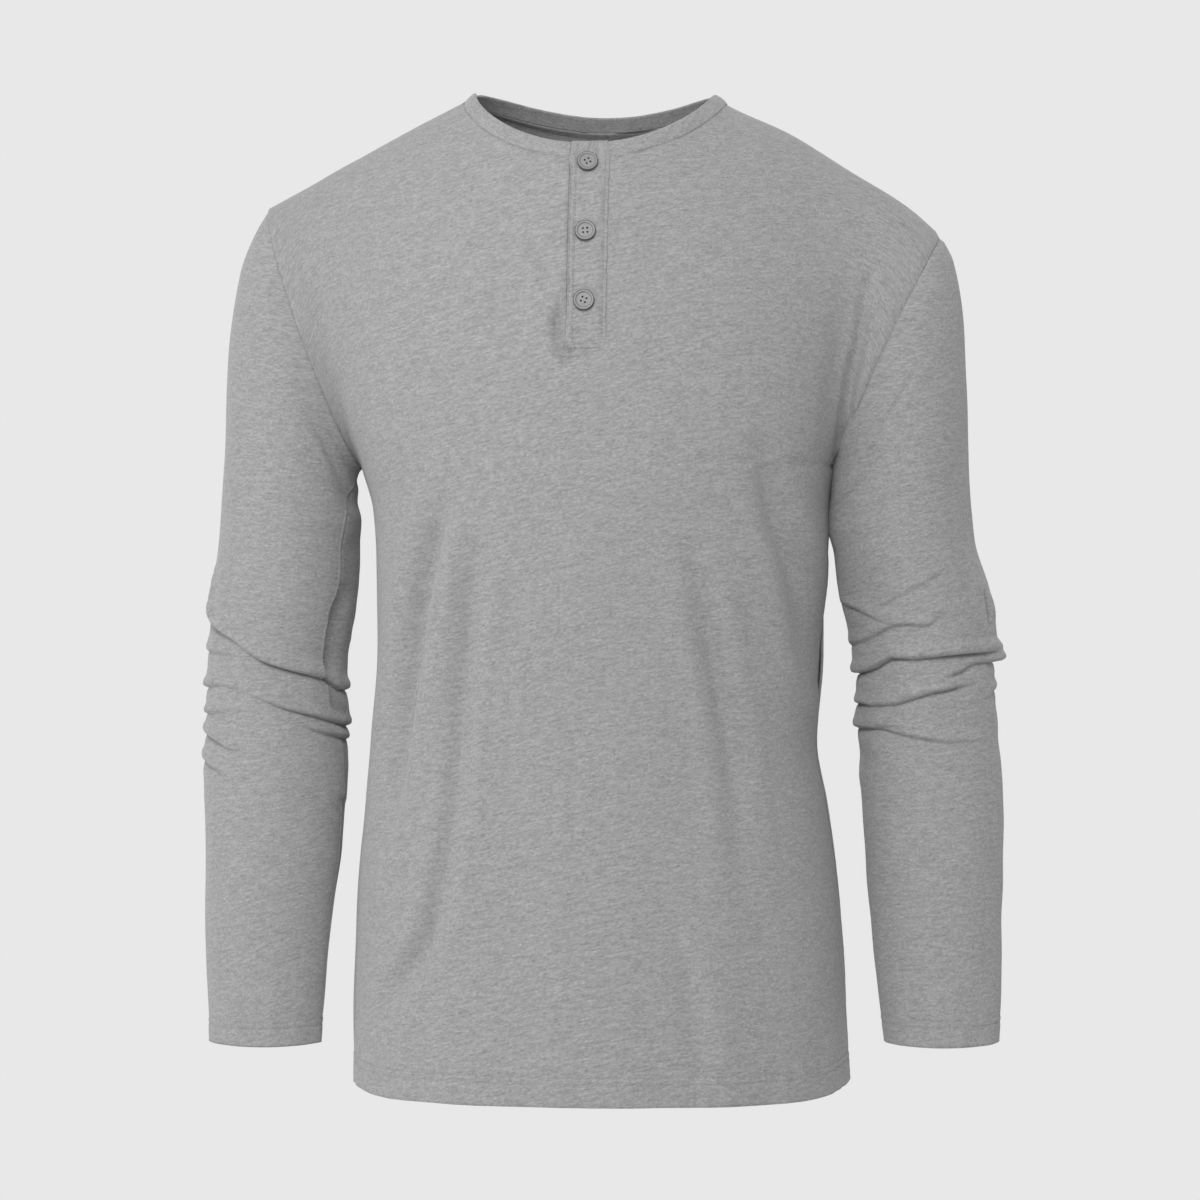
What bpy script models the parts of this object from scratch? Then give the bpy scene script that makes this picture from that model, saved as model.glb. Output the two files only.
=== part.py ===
"""A long-sleeved henley shirt, filled out as it is worn, with no wearer.

Metres, +Z up. The front faces -Y and the wearer's left is +X. The origin is midway
between the two high points of the neck, on the line where the wearer's shoulders hold
the shirt up. Each piece that is cut and sewn on is one closed wall of cloth.
"""

import math
from bisect import bisect_right
from collections import namedtuple

import bmesh
import bpy
from mathutils import Vector

# Cloth
CLOTH = 0.0014  # wall of one layer of jersey
HEM_CLOTH = 0.0024  # wall where a hem is turned up
BAND_CLOTH = 0.0022  # the folded neckband
GAP = 0.0003  # between pieces that are sewn together

# Heights
ARMPIT_Z = -0.2645
HEM_Z = -0.700  # at the side seams
HEM_DROP = 0.0075  # how much lower the hem hangs between them
HEM_DROP_POWER = 10
HEM_HEIGHT = 0.022
HEM_STEP = 0.003  # where the turned-up layer ends

# Body
SQUARENESS = 0.045  # how far the sections swell at their corners
FULLNESS = 0.56  # how round the chest and the upper back are, seen from the side
ROW_CROWDING = 0.6  # how far the rows close up towards the neckline
SLOPE_STEP = 0.002
EDGE_REACH = 3.0  # how far the pull of the armhole reaches into a panel

# Neck
NECK_HALF_WIDTH = 0.0935  # at the seam that joins the band
NECK_SHIFT = -0.0025  # the neck sits a little to the wearer's right
NECK_Z = -0.0055  # of the seam at its two high points
NECK_TILT = 0.0015  # and how much higher the wearer's right one is than that
NECK_DROP = {"front": 0.0480, "back": 0.0120}  # from there to its middle
NECK_CURVE = {"front": 1.32, "back": 3.0}  # more makes a more pointed neckline
BAND_HEIGHT = 0.011
BAND_LEAN = 0.35  # how far the band turns up from the slope of the cloth below it
NECK_SHARE = 0.385  # the share of a panel's half that ends on the neckline

# Placket
SLOT_RIGHT = -0.0127  # the slit in the front, from its centre line
SLOT_LEFT = 0.0118
SLOT_BOTTOM_Z = -0.182
PLACKET_RIGHT = -0.0097  # the free edge of the strip on top
PLACKET_LEFT = 0.0150
PLACKET_BOTTOM_Z = -0.1875
PLACKET_COLUMNS = (-0.0040, 0.0050)
PLACKET_ROWS = 12

# Buttons
BUTTON_RADIUS = 0.00725
BUTTON_THICKNESS = 0.0028
BUTTON_HEIGHTS = (-0.0585, -0.1072, -0.1552)
BUTTON_HOLE_RADIUS = 0.0008
BUTTON_HOLE_SPACING = 0.0014  # from the centre, along X and along Z
BUTTON_SIDES = 20

# Mesh
LOWER_ROWS = 7
ROWS_TO_SLOT = 4
ROWS_ABOVE_SLOT = 8
NECK_COLUMNS = 6
SHOULDER_COLUMNS = 7

CLOTH_GREY = (0.36, 0.36, 0.36)
BUTTON_GREY = (0.33, 0.33, 0.335)

# The body below the armpits: half-widths to each side, and depths from the side seams.
Body = namedtuple("Body", "z right left front back")
BODY = (
    Body(-0.712, 0.1765, 0.1780, 0.123, 0.121),
    Body(-0.646, 0.1760, 0.1757, 0.121, 0.120),
    Body(-0.589, 0.1745, 0.1720, 0.118, 0.117),
    Body(-0.546, 0.1718, 0.1680, 0.116, 0.113),
    Body(-0.503, 0.1668, 0.1620, 0.116, 0.110),
    Body(-0.460, 0.1615, 0.1550, 0.117, 0.107),
    Body(-0.400, 0.1592, 0.1593, 0.121, 0.108),
    Body(-0.331, 0.1598, 0.1604, 0.128, 0.113),
    Body(-0.295, 0.1620, 0.1615, 0.131, 0.117),
    Body(-0.2645, 0.1705, 0.1660, 0.132, 0.120),
)

# The line the shoulder seams lie on, which runs on above the neck to carry its slope:
# how high it is at each distance out from the centre.
Shoulder = namedtuple("Shoulder", "out z")
SHOULDER = {
    -1: (
        Shoulder(0.0000, 0.0470),
        Shoulder(0.0500, 0.0230),
        Shoulder(0.0960, -0.0040),
        Shoulder(0.1300, -0.0215),
        Shoulder(0.1860, -0.0505),
        Shoulder(0.2370, -0.0790),
    ),
    1: (
        Shoulder(0.0000, 0.0470),
        Shoulder(0.0450, 0.0240),
        Shoulder(0.0910, -0.0070),
        Shoulder(0.1380, -0.0302),
        Shoulder(0.1775, -0.0545),
        Shoulder(0.2210, -0.0828),
        Shoulder(0.2430, -0.1020),
    ),
}

# The sleeves, from the armhole to the cuff: each ring's outer and inner point, how far
# its middle lies behind the shoulder, and half of its depth.
Ring = namedtuple("Ring", "along out_x out_z in_x in_z mid_y half_depth")
SLEEVE = {
    -1: (
        Ring(0.000, 0.2370, -0.0790, 0.1705, -0.2645, 0.000, 0.0520),
        Ring(0.018, 0.2480, -0.0980, 0.1745, -0.2690, 0.000, 0.0535),
        Ring(0.050, 0.2590, -0.1250, 0.1762, -0.2770, 0.000, 0.0550),
        Ring(0.104, 0.2675, -0.1800, 0.1758, -0.2900, 0.002, 0.0565),
        Ring(0.155, 0.2695, -0.2310, 0.1735, -0.3040, 0.003, 0.0565),
        Ring(0.242, 0.2757, -0.3170, 0.1745, -0.3330, 0.005, 0.0550),
        Ring(0.300, 0.2825, -0.3740, 0.1790, -0.3760, 0.007, 0.0520),
        Ring(0.331, 0.2845, -0.4050, 0.1825, -0.4050, 0.007, 0.0505),
        Ring(0.372, 0.2855, -0.4460, 0.1815, -0.4460, 0.005, 0.0480),
        Ring(0.400, 0.2862, -0.4740, 0.1812, -0.4740, 0.002, 0.0465),
        Ring(0.465, 0.2840, -0.5390, 0.1845, -0.5390, -0.005, 0.0415),
        Ring(0.500, 0.2827, -0.5746, 0.1885, -0.5746, -0.010, 0.0375),
        Ring(0.543, 0.2810, -0.6175, 0.1925, -0.6175, -0.017, 0.0330),
        Ring(0.600, 0.2765, -0.6740, 0.1960, -0.6740, -0.027, 0.0270),
    ),
    1: (
        Ring(0.000, 0.2430, -0.1020, 0.1660, -0.2645, 0.000, 0.0520),
        Ring(0.018, 0.2515, -0.1200, 0.1678, -0.2690, 0.000, 0.0535),
        Ring(0.064, 0.2585, -0.1600, 0.1672, -0.2790, 0.001, 0.0560),
        Ring(0.114, 0.2610, -0.2120, 0.1662, -0.2940, 0.002, 0.0570),
        Ring(0.161, 0.2620, -0.2600, 0.1655, -0.3080, 0.003, 0.0570),
        Ring(0.217, 0.2665, -0.3160, 0.1665, -0.3300, 0.004, 0.0560),
        Ring(0.260, 0.2785, -0.3590, 0.1712, -0.3600, 0.006, 0.0540),
        Ring(0.290, 0.2825, -0.3890, 0.1780, -0.3890, 0.007, 0.0520),
        Ring(0.330, 0.2825, -0.4310, 0.1818, -0.4310, 0.006, 0.0490),
        Ring(0.375, 0.2852, -0.4740, 0.1845, -0.4740, 0.002, 0.0460),
        Ring(0.445, 0.2863, -0.5460, 0.1895, -0.5460, -0.006, 0.0410),
        Ring(0.490, 0.2855, -0.5880, 0.1935, -0.5880, -0.013, 0.0360),
        Ring(0.533, 0.2855, -0.6300, 0.1985, -0.6300, -0.020, 0.0310),
        Ring(0.571, 0.2832, -0.6695, 0.2035, -0.6695, -0.027, 0.0270),
    ),
}
ARMHOLE_BOW = {-1: 0.005, 1: 0.000}  # how far each armhole bows out towards the arm
CUFF_DROP = 0.002  # the cuffs hang lower at the front and back

# The largest troughs of the sleeves: how far along at the outer side, how much further
# at the inner side, their depth and the angle they are deepest at.
Fold = namedtuple("Fold", "along slant depth width angle spread")
SLEEVE_FOLDS = {
    -1: (
        Fold(0.262, 0.075, 0.0035, 0.012, 100, 120),
        Fold(0.322, 0.030, 0.0030, 0.010, 150, 110),
        Fold(0.372, 0.000, 0.0030, 0.010, 20, 90),
    ),
    1: (
        Fold(0.268, 0.018, 0.0040, 0.011, 70, 120),
        Fold(0.305, 0.022, 0.0035, 0.010, 110, 110),
        Fold(0.362, -0.008, 0.0030, 0.010, 140, 90),
    ),
}
# Ring positions of each sleeve, closer where the cloth bunches at the elbow.
SLEEVE_STOPS = {
    -1: (0, 0.018, 0.045, 0.08, 0.12, 0.17, 0.22, 0.255, 0.28, 0.302, 0.322,
         0.34, 0.357, 0.375, 0.40, 0.44, 0.50, 0.55, 0.575, 0.578, 0.600),
    1: (0, 0.018, 0.045, 0.08, 0.12, 0.17, 0.215, 0.245, 0.268, 0.287, 0.305,
        0.325, 0.343, 0.362, 0.39, 0.43, 0.48, 0.52, 0.546, 0.549, 0.571),
}  # fmt: skip

# Soft folds of the body panels, which run down from near the chest.
Drape = namedtuple("Drape", "x top_z bottom_z depth width")
DRAPES = {
    "front": (
        Drape(-0.118, -0.46, -0.70, 0.0030, 0.030),
        Drape(-0.048, -0.40, -0.70, 0.0022, 0.034),
        Drape(0.060, -0.38, -0.70, 0.0024, 0.036),
        Drape(0.122, -0.30, -0.70, 0.0030, 0.026),
    ),
    "back": (
        Drape(-0.110, -0.36, -0.70, 0.0034, 0.028),
        Drape(-0.030, -0.30, -0.70, 0.0040, 0.032),
        Drape(0.055, -0.32, -0.70, 0.0036, 0.030),
        Drape(0.125, -0.40, -0.70, 0.0028, 0.026),
    ),
}

# Troughs beside the armholes: their middles across and up a panel, how far they lean out
# on the way up, their depth, and how far they reach each way.
ChestFold = namedtuple("ChestFold", "u v lean depth width reach")
CHEST_FOLDS = {
    "front": (
        ChestFold(0.84, 0.30, 0.10, 0.0045, 0.14, 0.34),
        ChestFold(-0.88, 0.26, -0.10, 0.0030, 0.10, 0.28),
    ),
    "back": (
        ChestFold(0.84, 0.28, 0.10, 0.0050, 0.12, 0.32),
        ChestFold(-0.84, 0.28, -0.10, 0.0050, 0.12, 0.32),
    ),
}


def smooth(rows, at):
    """The row at this value of the first column, on a monotone cubic through a table."""
    keys = [row[0] for row in rows]
    at = min(max(at, keys[0]), keys[-1])
    i = min(max(bisect_right(keys, at) - 1, 0), len(rows) - 2)
    step = keys[i + 1] - keys[i]
    t = (at - keys[i]) / step

    def slope(j, column):
        j = min(max(j, 0), len(rows) - 2)
        return (rows[j + 1][column] - rows[j][column]) / (keys[j + 1] - keys[j])

    def tangent(j, column):
        before, after = slope(j - 1, column), slope(j, column)
        return 0 if before * after <= 0 else 2 * before * after / (before + after)

    def value(column):
        start, end = rows[i][column], rows[i + 1][column]
        start_pull = tangent(i, column) * step * t * (1 - t) ** 2
        end_pull = tangent(i + 1, column) * step * t * t * (1 - t)
        return start + (end - start) * t * t * (3 - 2 * t) + start_pull - end_pull

    return type(rows[0])(*(value(column) for column in range(len(rows[0]))))


def bump(distance, width):
    """A soft hump, 1 at no distance and 0 from one width away."""
    share = min(abs(distance) / width, 1)
    return (1 - share * share) ** 2


def ramp(value, start, end):
    """0 at start and 1 at end, with no corner at either."""
    t = min(max((value - start) / (end - start), 0), 1)
    return t * t * (3 - 2 * t)


def drape_depth(face, x, z):
    """How far the soft folds push a body panel in at this place."""
    return sum(
        fold.depth * bump(x - fold.x, fold.width) * ramp(z, fold.top_z, fold.bottom_z)
        for fold in DRAPES[face]
    )


def body_point(face, u, z):
    """Outer point below the armpits. u goes from -1 to 1, right side seam to left."""
    row = smooth(BODY, z)
    angle = u * math.pi / 2
    swell = 1 + SQUARENESS * math.sin(2 * angle) ** 2
    x = (row.left if u > 0 else row.right) * math.sin(angle) * swell
    depth = row.front if face == "front" else row.back
    depth = depth * math.cos(angle) * swell - drape_depth(face, x, z) * math.cos(angle)
    return Vector((x, -depth if face == "front" else depth, z))


def hem_point(face, u, up):
    """A point of the hem, this far above its edge."""
    drop = HEM_DROP * (1 - abs(math.sin(u * math.pi / 2)) ** HEM_DROP_POWER)
    point = body_point(face, u, HEM_Z + up)
    point.z -= drop * (1 - ramp(up, 0, ARMPIT_Z - HEM_Z))
    return point


def armhole_point(side, angle):
    """A point of the armhole: 0 is its top, 90 degrees its front and 180 its bottom."""
    return ring_point(side, SLEEVE[side][0], angle, ARMHOLE_BOW[side])


def ring_point(side, ring, angle, bow=0.0):
    """A point of a sleeve's ring, which stands on the line from its inner to its outer
    point."""
    outer = Vector((side * ring.out_x, ring.mid_y, ring.out_z))
    inner = Vector((side * ring.in_x, ring.mid_y, ring.in_z))
    half = (outer - inner) / 2
    away = Vector((side * half.z, 0, -half.x)).normalized()
    point = (outer + inner) / 2 + half * math.cos(angle)
    point.y -= ring.half_depth * math.sin(angle)
    return point + away * bow * abs(math.sin(angle)) ** 1.2


def column_point(face, u, v):
    """A quarter of a rough ellipse, from the armpit's level, v 0, up to the shoulder
    line, v 1."""
    side = 1 if u >= 0 else -1
    foot = body_point(face, u, ARMPIT_Z)
    rows = SHOULDER[side]
    neck, tip = rows[2].out, rows[-1].out
    if abs(u) <= NECK_SHARE:
        out = neck * math.sin(abs(u) * math.pi / 2) / math.sin(NECK_SHARE * math.pi / 2)
    else:
        share = (abs(u) - NECK_SHARE) / (1 - NECK_SHARE)
        pace = neck * math.pi / 2 * (1 - NECK_SHARE) / math.tan(NECK_SHARE * math.pi / 2)
        out = neck + pace * share + (tip - neck - pace) * share**2
    top = Vector((side * out, 0, smooth(rows, out).z))
    rise = top.z - foot.z
    slope = (foot - body_point(face, u, ARMPIT_Z - SLOPE_STEP)) / SLOPE_STEP
    first = foot + slope * (FULLNESS * rise)
    second = top + Vector((0, FULLNESS * foot.y, 0))
    w = 1 - v
    return foot * w**3 + first * (3 * w * w * v) + second * (3 * w * v * v) + top * v**3


def upper_point(face, u, v):
    """Outer point above the armpits, pulled out to the armhole at the panel's sides."""
    side = 1 if u >= 0 else -1
    turn = math.pi * (1 - v) if face == "front" else math.pi * (1 + v)
    pull = armhole_point(side, turn) - column_point(face, side, v)
    point = column_point(face, u, v) + pull * abs(u) ** EDGE_REACH
    for fold in CHEST_FOLDS[face]:
        centre = fold.u + fold.lean * (v - fold.v)
        depth = fold.depth * bump(u - centre, fold.width) * bump(v - fold.v, fold.reach)
        point += Vector((0, depth if face == "front" else -depth, 0))
    return point


def neck_height(face, x):
    """How high the neck's seam is, this far from the centre line."""
    share = min(max((x - NECK_SHIFT) / NECK_HALF_WIDTH, -1), 1)
    drop = NECK_DROP[face] * (1 - share**2) ** (NECK_CURVE[face] / 2)
    return NECK_Z - NECK_TILT * share - drop


def end_v(face, u):
    """Where a column meets the neckline, or 1 where it runs on to the shoulder seam."""
    if abs(u) >= NECK_SHARE - 1e-9:
        return 1.0
    low, high = 0.0, 1.0
    for _ in range(40):
        middle = (low + high) / 2
        point = upper_point(face, u, middle)
        if point.z < neck_height(face, point.x):
            low = middle
        else:
            high = middle
    return (low + high) / 2


def row_v(face, u, share):
    """How far up a column the row at this share of the panel's height crosses it. Rows
    are level at the armpits and follow the neckline at its edge."""
    short = 1 - end_v(face, u)
    return share - short * share ** (ROW_CROWDING / max(short, 0.1))


def neck_edge(face, u):
    """A point of the neck's seam, the way along it to the wearer's left, the way up the
    band from it and the way out of the cloth."""
    point = upper_point(face, u, end_v(face, u))
    step = 0.004
    if abs(u) > NECK_SHARE - step:
        along = Vector((0, 1 if (face == "front") == (u > 0) else -1, 0))
    else:
        along = upper_point(face, u + step, end_v(face, u + step))
        along = (along - upper_point(face, u - step, end_v(face, u - step))).normalized()
    v = min(end_v(face, u), 0.999)
    rise = (upper_point(face, u, v + 0.001) - upper_point(face, u, v - 0.001)).normalized()
    if abs(u) > NECK_SHARE - step:
        side = 1 if u > 0 else -1
        rise = Vector((-side, 0, 0.55)).normalized()
    out = along.cross(rise).normalized() * (1 if face == "front" else -1)
    up = out.cross(along).normalized() * (1 if face == "front" else -1)
    up = (up + Vector((0, 0, BAND_LEAN))).normalized()
    out = along.cross(up).normalized() * (1 if face == "front" else -1)
    return point, along, up, out


def u_at(face, x, v):
    """Which column passes this distance from the centre line, at this height."""
    low, high = -0.5, 0.5
    for _ in range(40):
        middle = (low + high) / 2
        if upper_point(face, middle, v).x < x:
            low = middle
        else:
            high = middle
    return (low + high) / 2


def share_at(z):
    """How far up the front panel's middle this height is."""
    low, high = 0.0, 1.0
    for _ in range(40):
        middle = (low + high) / 2
        if upper_point("front", 0, row_v("front", 0, middle)).z < z:
            low = middle
        else:
            high = middle
    return (low + high) / 2


def spread(start, end, count):
    """Evenly spaced values after start, as far as end."""
    return [start + (end - start) * (i + 1) / count for i in range(count)]


def slit_edges(face, share):
    """The columns at the two edges of the placket's slit, on the row this far up."""
    if face == "back":
        return -0.045, 0.045
    v = row_v(face, 0, share)
    return u_at(face, SLOT_RIGHT, v), u_at(face, SLOT_LEFT, v)


def columns(face, share):
    """The panel's columns at a row, with one on each edge of the placket's slit."""
    right, left = slit_edges(face, share)
    turns = [math.sin(turn) for turn in spread(0, math.pi / 2, NECK_COLUMNS)]
    half = [-1.0] + spread(-1.0, -NECK_SHARE, SHOULDER_COLUMNS)[:-1]
    half += [right + (-NECK_SHARE - right) * turn for turn in turns[::-1]] + [right]
    other = [left] + [left + (NECK_SHARE - left) * turn for turn in turns]
    other += spread(NECK_SHARE, 1.0, SHOULDER_COLUMNS)
    return half + [(right + left) / 2] + other


def upper_shares():
    """How far up the panel each row above the armpits is, with one at the slit's end."""
    slit = share_at(SLOT_BOTTOM_Z)
    return spread(0.0, slit, ROWS_TO_SLOT) + spread(slit, 1.0, ROWS_ABOVE_SLOT)


def lower_heights():
    """Heights above the hem's edge, with the turned-up layer's end among them."""
    rise = ARMPIT_Z - HEM_Z
    start = HEM_HEIGHT + HEM_STEP
    return [0.0, HEM_HEIGHT, start] + spread(start, rise, LOWER_ROWS)


def panel_grid(face):
    """Rows of outer points of the front or the back, from the hem up."""
    rows = []
    for up in lower_heights():
        rows.append([hem_point(face, u, up) for u in columns(face, 0.0)])
    for share in upper_shares():
        row = [upper_point(face, u, row_v(face, u, share)) for u in columns(face, share)]
        rows.append(row)
    edge = -GAP / 2 if face == "front" else GAP / 2
    for row in rows:
        for point in row:
            if abs(point.y) < GAP / 2:
                point.y = edge
    return rows


def panel_normals(face):
    """The way out of the cloth at each point of panel_grid."""
    step = 0.003
    facing = 1 if face == "front" else -1
    normals = []

    def normal(place, u, v):
        left, right = min(u + step, 1), max(u - step, -1)
        across = place(face, left, v) - place(face, right, v)
        up = place(face, u, v + step) - place(face, u, v - step)
        return across.cross(up).normalized() * facing

    for up in lower_heights():
        normals.append([normal(hem_point, u, up) for u in columns(face, 0.0)])
    for share in upper_shares():
        line = []
        for u in columns(face, share):
            v = min(row_v(face, u, share), 1 - step)
            line.append(normal(upper_point, u, v))
        normals.append(line)
    return normals


def ring_normals(rows):
    """Unit normals of a grid of rings, facing the way of its columns' cross product."""
    count = len(rows[0])
    normals = []
    for j, row in enumerate(rows):
        below, above = rows[max(j - 1, 0)], rows[min(j + 1, len(rows) - 1)]
        line = []
        for i in range(count):
            across = row[(i + 1) % count] - row[i - 1]
            line.append(across.cross(above[i] - below[i]).normalized())
        normals.append(line)
    return normals


def solid_between(name, outer, inner, material, closed=False, left_out=()):
    """One closed wall between two grids, with the cells in left_out cut away."""
    mesh = bmesh.new()
    outside = [[mesh.verts.new(point) for point in row] for row in outer]
    inside = [[mesh.verts.new(point) for point in row] for row in inner]
    count = len(outer[0])
    edges = {}
    for j in range(len(outer) - 1):
        for i in range(count if closed else count - 1):
            if (j, i) in left_out:
                continue
            k = (i + 1) % count
            corners = ((j, i), (j, k), (j + 1, k), (j + 1, i))
            one, two, three, four = (outer[a][b] for a, b in corners)
            turned = (one - three).length > (two - four).length
            split = ((0, 1, 3), (1, 2, 3)) if turned else ((0, 1, 2), (0, 2, 3))
            for triangle in split:
                mesh.faces.new([outside[corners[n][0]][corners[n][1]] for n in triangle])
                mesh.faces.new([inside[corners[n][0]][corners[n][1]] for n in triangle[::-1]])
            for start, end in zip(corners, corners[1:] + corners[:1]):
                if (end, start) in edges:
                    del edges[(end, start)]
                else:
                    edges[(start, end)] = True
    for (a, b), (c, d) in edges:
        mesh.faces.new((outside[c][d], outside[a][b], inside[a][b], inside[c][d]))
    bmesh.ops.delete(
        mesh, geom=[vert for vert in mesh.verts if not vert.link_faces], context="VERTS"
    )
    bmesh.ops.recalc_face_normals(mesh, faces=mesh.faces)
    data = bpy.data.meshes.new(name)
    mesh.to_mesh(data)
    mesh.free()
    data.materials.append(material)
    data.shade_smooth()
    data.set_sharp_from_angle(angle=math.radians(50))
    piece = bpy.data.objects.new(name, data)
    bpy.context.scene.collection.objects.link(piece)
    return piece


def make_panel(face, material):
    """The front or the back: hem to shoulder seams, with the front slit for a placket."""
    outer = panel_grid(face)
    normals = panel_normals(face)
    lower = len(lower_heights())
    last = len(outer[0]) - 1
    for j, line in enumerate(normals):
        for i, side in ((0, -1), (last, 1)):
            if j < lower:
                line[i] = Vector((side, 0, 0))
            else:
                line[i] = armhole_radial(side, outer[j][i])
    for i, point in enumerate(outer[-1]):
        if abs(point.y) <= GAP:
            side = 1 if point.x > 0 else -1
            rows = SHOULDER[side]
            slope = (rows[2].z - rows[-1].z) / (rows[-1].out - rows[2].out)
            if i not in (0, last):
                normals[-1][i] = Vector((side * slope, 0, 1)).normalized()
    inner = []
    for j, row in enumerate(outer):
        wall = HEM_CLOTH if j < 2 else CLOTH
        inner.append([point - normals[j][i] * wall for i, point in enumerate(row)])
    slot_column = SHOULDER_COLUMNS + NECK_COLUMNS
    slot_row = lower - 1 + ROWS_TO_SLOT
    left_out = set()
    if face == "front":
        rows = range(slot_row, len(outer) - 1)
        left_out = {(j, i) for j in rows for i in (slot_column, slot_column + 1)}
    return solid_between(face, outer, inner, material, left_out=left_out)


def armhole_radial(side, point):
    """The way out from the armhole's middle, which both sides of its seam share."""
    ring = SLEEVE[side][0]
    middle = Vector((side * (ring.out_x + ring.in_x) / 2, 0, (ring.out_z + ring.in_z) / 2))
    along = Vector((side * (ring.out_x - ring.in_x), 0, ring.out_z - ring.in_z))
    through = along.cross(Vector((0, 1, 0))).normalized()
    away = point - middle
    return (away - through * away.dot(through)).normalized()


def fold_depth(side, along, angle):
    """How deep the sleeve's troughs are at this place."""
    depth = 0.0
    for fold in SLEEVE_FOLDS[side]:
        inward = (1 - math.cos(angle)) / 2
        centre = fold.along + fold.slant * inward
        turn = math.degrees(angle) - fold.angle
        turn = (turn + 180) % 360 - 180
        depth += fold.depth * bump(along - centre, fold.width) * bump(turn, fold.spread)
    return depth


def make_sleeve(side, material):
    """A sleeve, from its armhole to its cuff."""
    turns = [math.pi * (1 - share) for share in [0.0] + upper_shares()]
    turns = turns[::-1] + [2 * math.pi - turn for turn in turns[1:-1]]
    stops = SLEEVE_STOPS[side]
    cuff = stops[-1]
    outer = []
    for along in stops:
        ring = smooth(SLEEVE[side], along)
        bow = ARMHOLE_BOW[side] * (1 - ramp(along, 0, 0.08))
        drop = CUFF_DROP * ramp(along, cuff - 0.1, cuff)
        row = []
        for turn in turns:
            point = ring_point(side, ring, turn, bow)
            middle = Vector((side * (ring.out_x + ring.in_x) / 2, ring.mid_y, point.z))
            inward = (middle - point).normalized()
            point += inward * fold_depth(side, along, turn)
            point.z -= drop * math.sin(turn) ** 2
            row.append(point)
        outer.append(row)
    ring = SLEEVE[side][0]
    seam = Vector((side * (ring.out_z - ring.in_z), 0, ring.in_x - ring.out_x)).normalized() * GAP
    outer[0] = [point + seam for point in outer[0]]
    normals = ring_normals(outer)
    flip = 1 if side > 0 else -1
    normals = [[normal * flip for normal in line] for line in normals]
    normals[0] = [armhole_radial(side, point) for point in outer[0]]
    inner = []
    for j, row in enumerate(outer):
        wall = HEM_CLOTH if j >= len(outer) - 2 else CLOTH
        inner.append([point - normals[j][i] * wall for i, point in enumerate(row)])
    name = "sleeve_left" if side > 0 else "sleeve_right"
    return solid_between(name, outer, inner, material, closed=True)


def make_neckband(material):
    """The folded band round the neck, from one edge of the placket to the other."""
    fronts, backs = columns("front", 1.0), columns("back", 1.0)
    middle = len(fronts) // 2
    near = NECK_SHARE + 1e-9
    places = [("front", u) for u in fronts[middle + 1 :] if u <= near]
    places += [("back", u) for u in backs[::-1] if abs(u) < NECK_SHARE - 1e-9]
    places += [("front", u) for u in fronts[:middle] if u >= -near]
    # Up from the seam, and in from the outer face of the cloth below.
    wall = BAND_CLOTH
    profile = (
        (GAP, 0.0), (BAND_HEIGHT / 2, 0.0), (BAND_HEIGHT - wall / 2, 0.0),
        (BAND_HEIGHT, wall / 2), (BAND_HEIGHT - wall / 2, wall), (BAND_HEIGHT / 2, wall),
        (GAP, wall),
    )  # fmt: skip
    rows = []
    for face, u in places:
        point, _, up, out = neck_edge(face, u)
        rows.append([point + up * rise - out * depth for rise, depth in profile])
    return loop_solid("neckband", rows, material)


def loop_solid(name, rows, material):
    """A solid whose cross-sections are closed loops, with both its ends capped."""
    mesh = bmesh.new()
    loops = [[mesh.verts.new(point) for point in row] for row in rows]
    count = len(rows[0])
    for before, after in zip(loops, loops[1:]):
        for i in range(count):
            k = (i + 1) % count
            mesh.faces.new((before[i], before[k], after[k], after[i]))
    mesh.faces.new(loops[0][::-1])
    mesh.faces.new(loops[-1])
    bmesh.ops.recalc_face_normals(mesh, faces=mesh.faces)
    data = bpy.data.meshes.new(name)
    mesh.to_mesh(data)
    mesh.free()
    data.materials.append(material)
    data.shade_smooth()
    data.set_sharp_from_angle(angle=math.radians(50))
    piece = bpy.data.objects.new(name, data)
    bpy.context.scene.collection.objects.link(piece)
    return piece


def placket_point(x, share, lift):
    """A point this far out from the front panel. A share past 1 goes on up the band."""
    step = 0.004
    u = u_at("front", x, row_v("front", 0, min(share, 1.0)))
    v = row_v("front", u, min(share, 1.0))
    point = upper_point("front", u, v)
    across = upper_point("front", u + step, v) - upper_point("front", u - step, v)
    out = across.cross(point - upper_point("front", u, v - step)).normalized()
    if share > 1.0:
        _, _, up, out = neck_edge("front", u)
        point += up * (BAND_HEIGHT * min(share - 1.0, 1.0))
    return point + out * lift


def make_strip(name, right, left, bottom_z, lift, wall, material):
    """A placket strip made from the front panel's own points, moved out by lift."""
    slit = share_at(SLOT_BOTTOM_Z)
    stops = [share_at(bottom_z)] + spread(slit, 1.0, PLACKET_ROWS) + [2.0]
    places = [right, *PLACKET_COLUMNS, left]
    outer = [[placket_point(x, share, lift) for x in places] for share in stops]
    inner = [[placket_point(x, share, lift - wall) for x in places] for share in stops]
    return solid_between(name, outer, inner, material)


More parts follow.
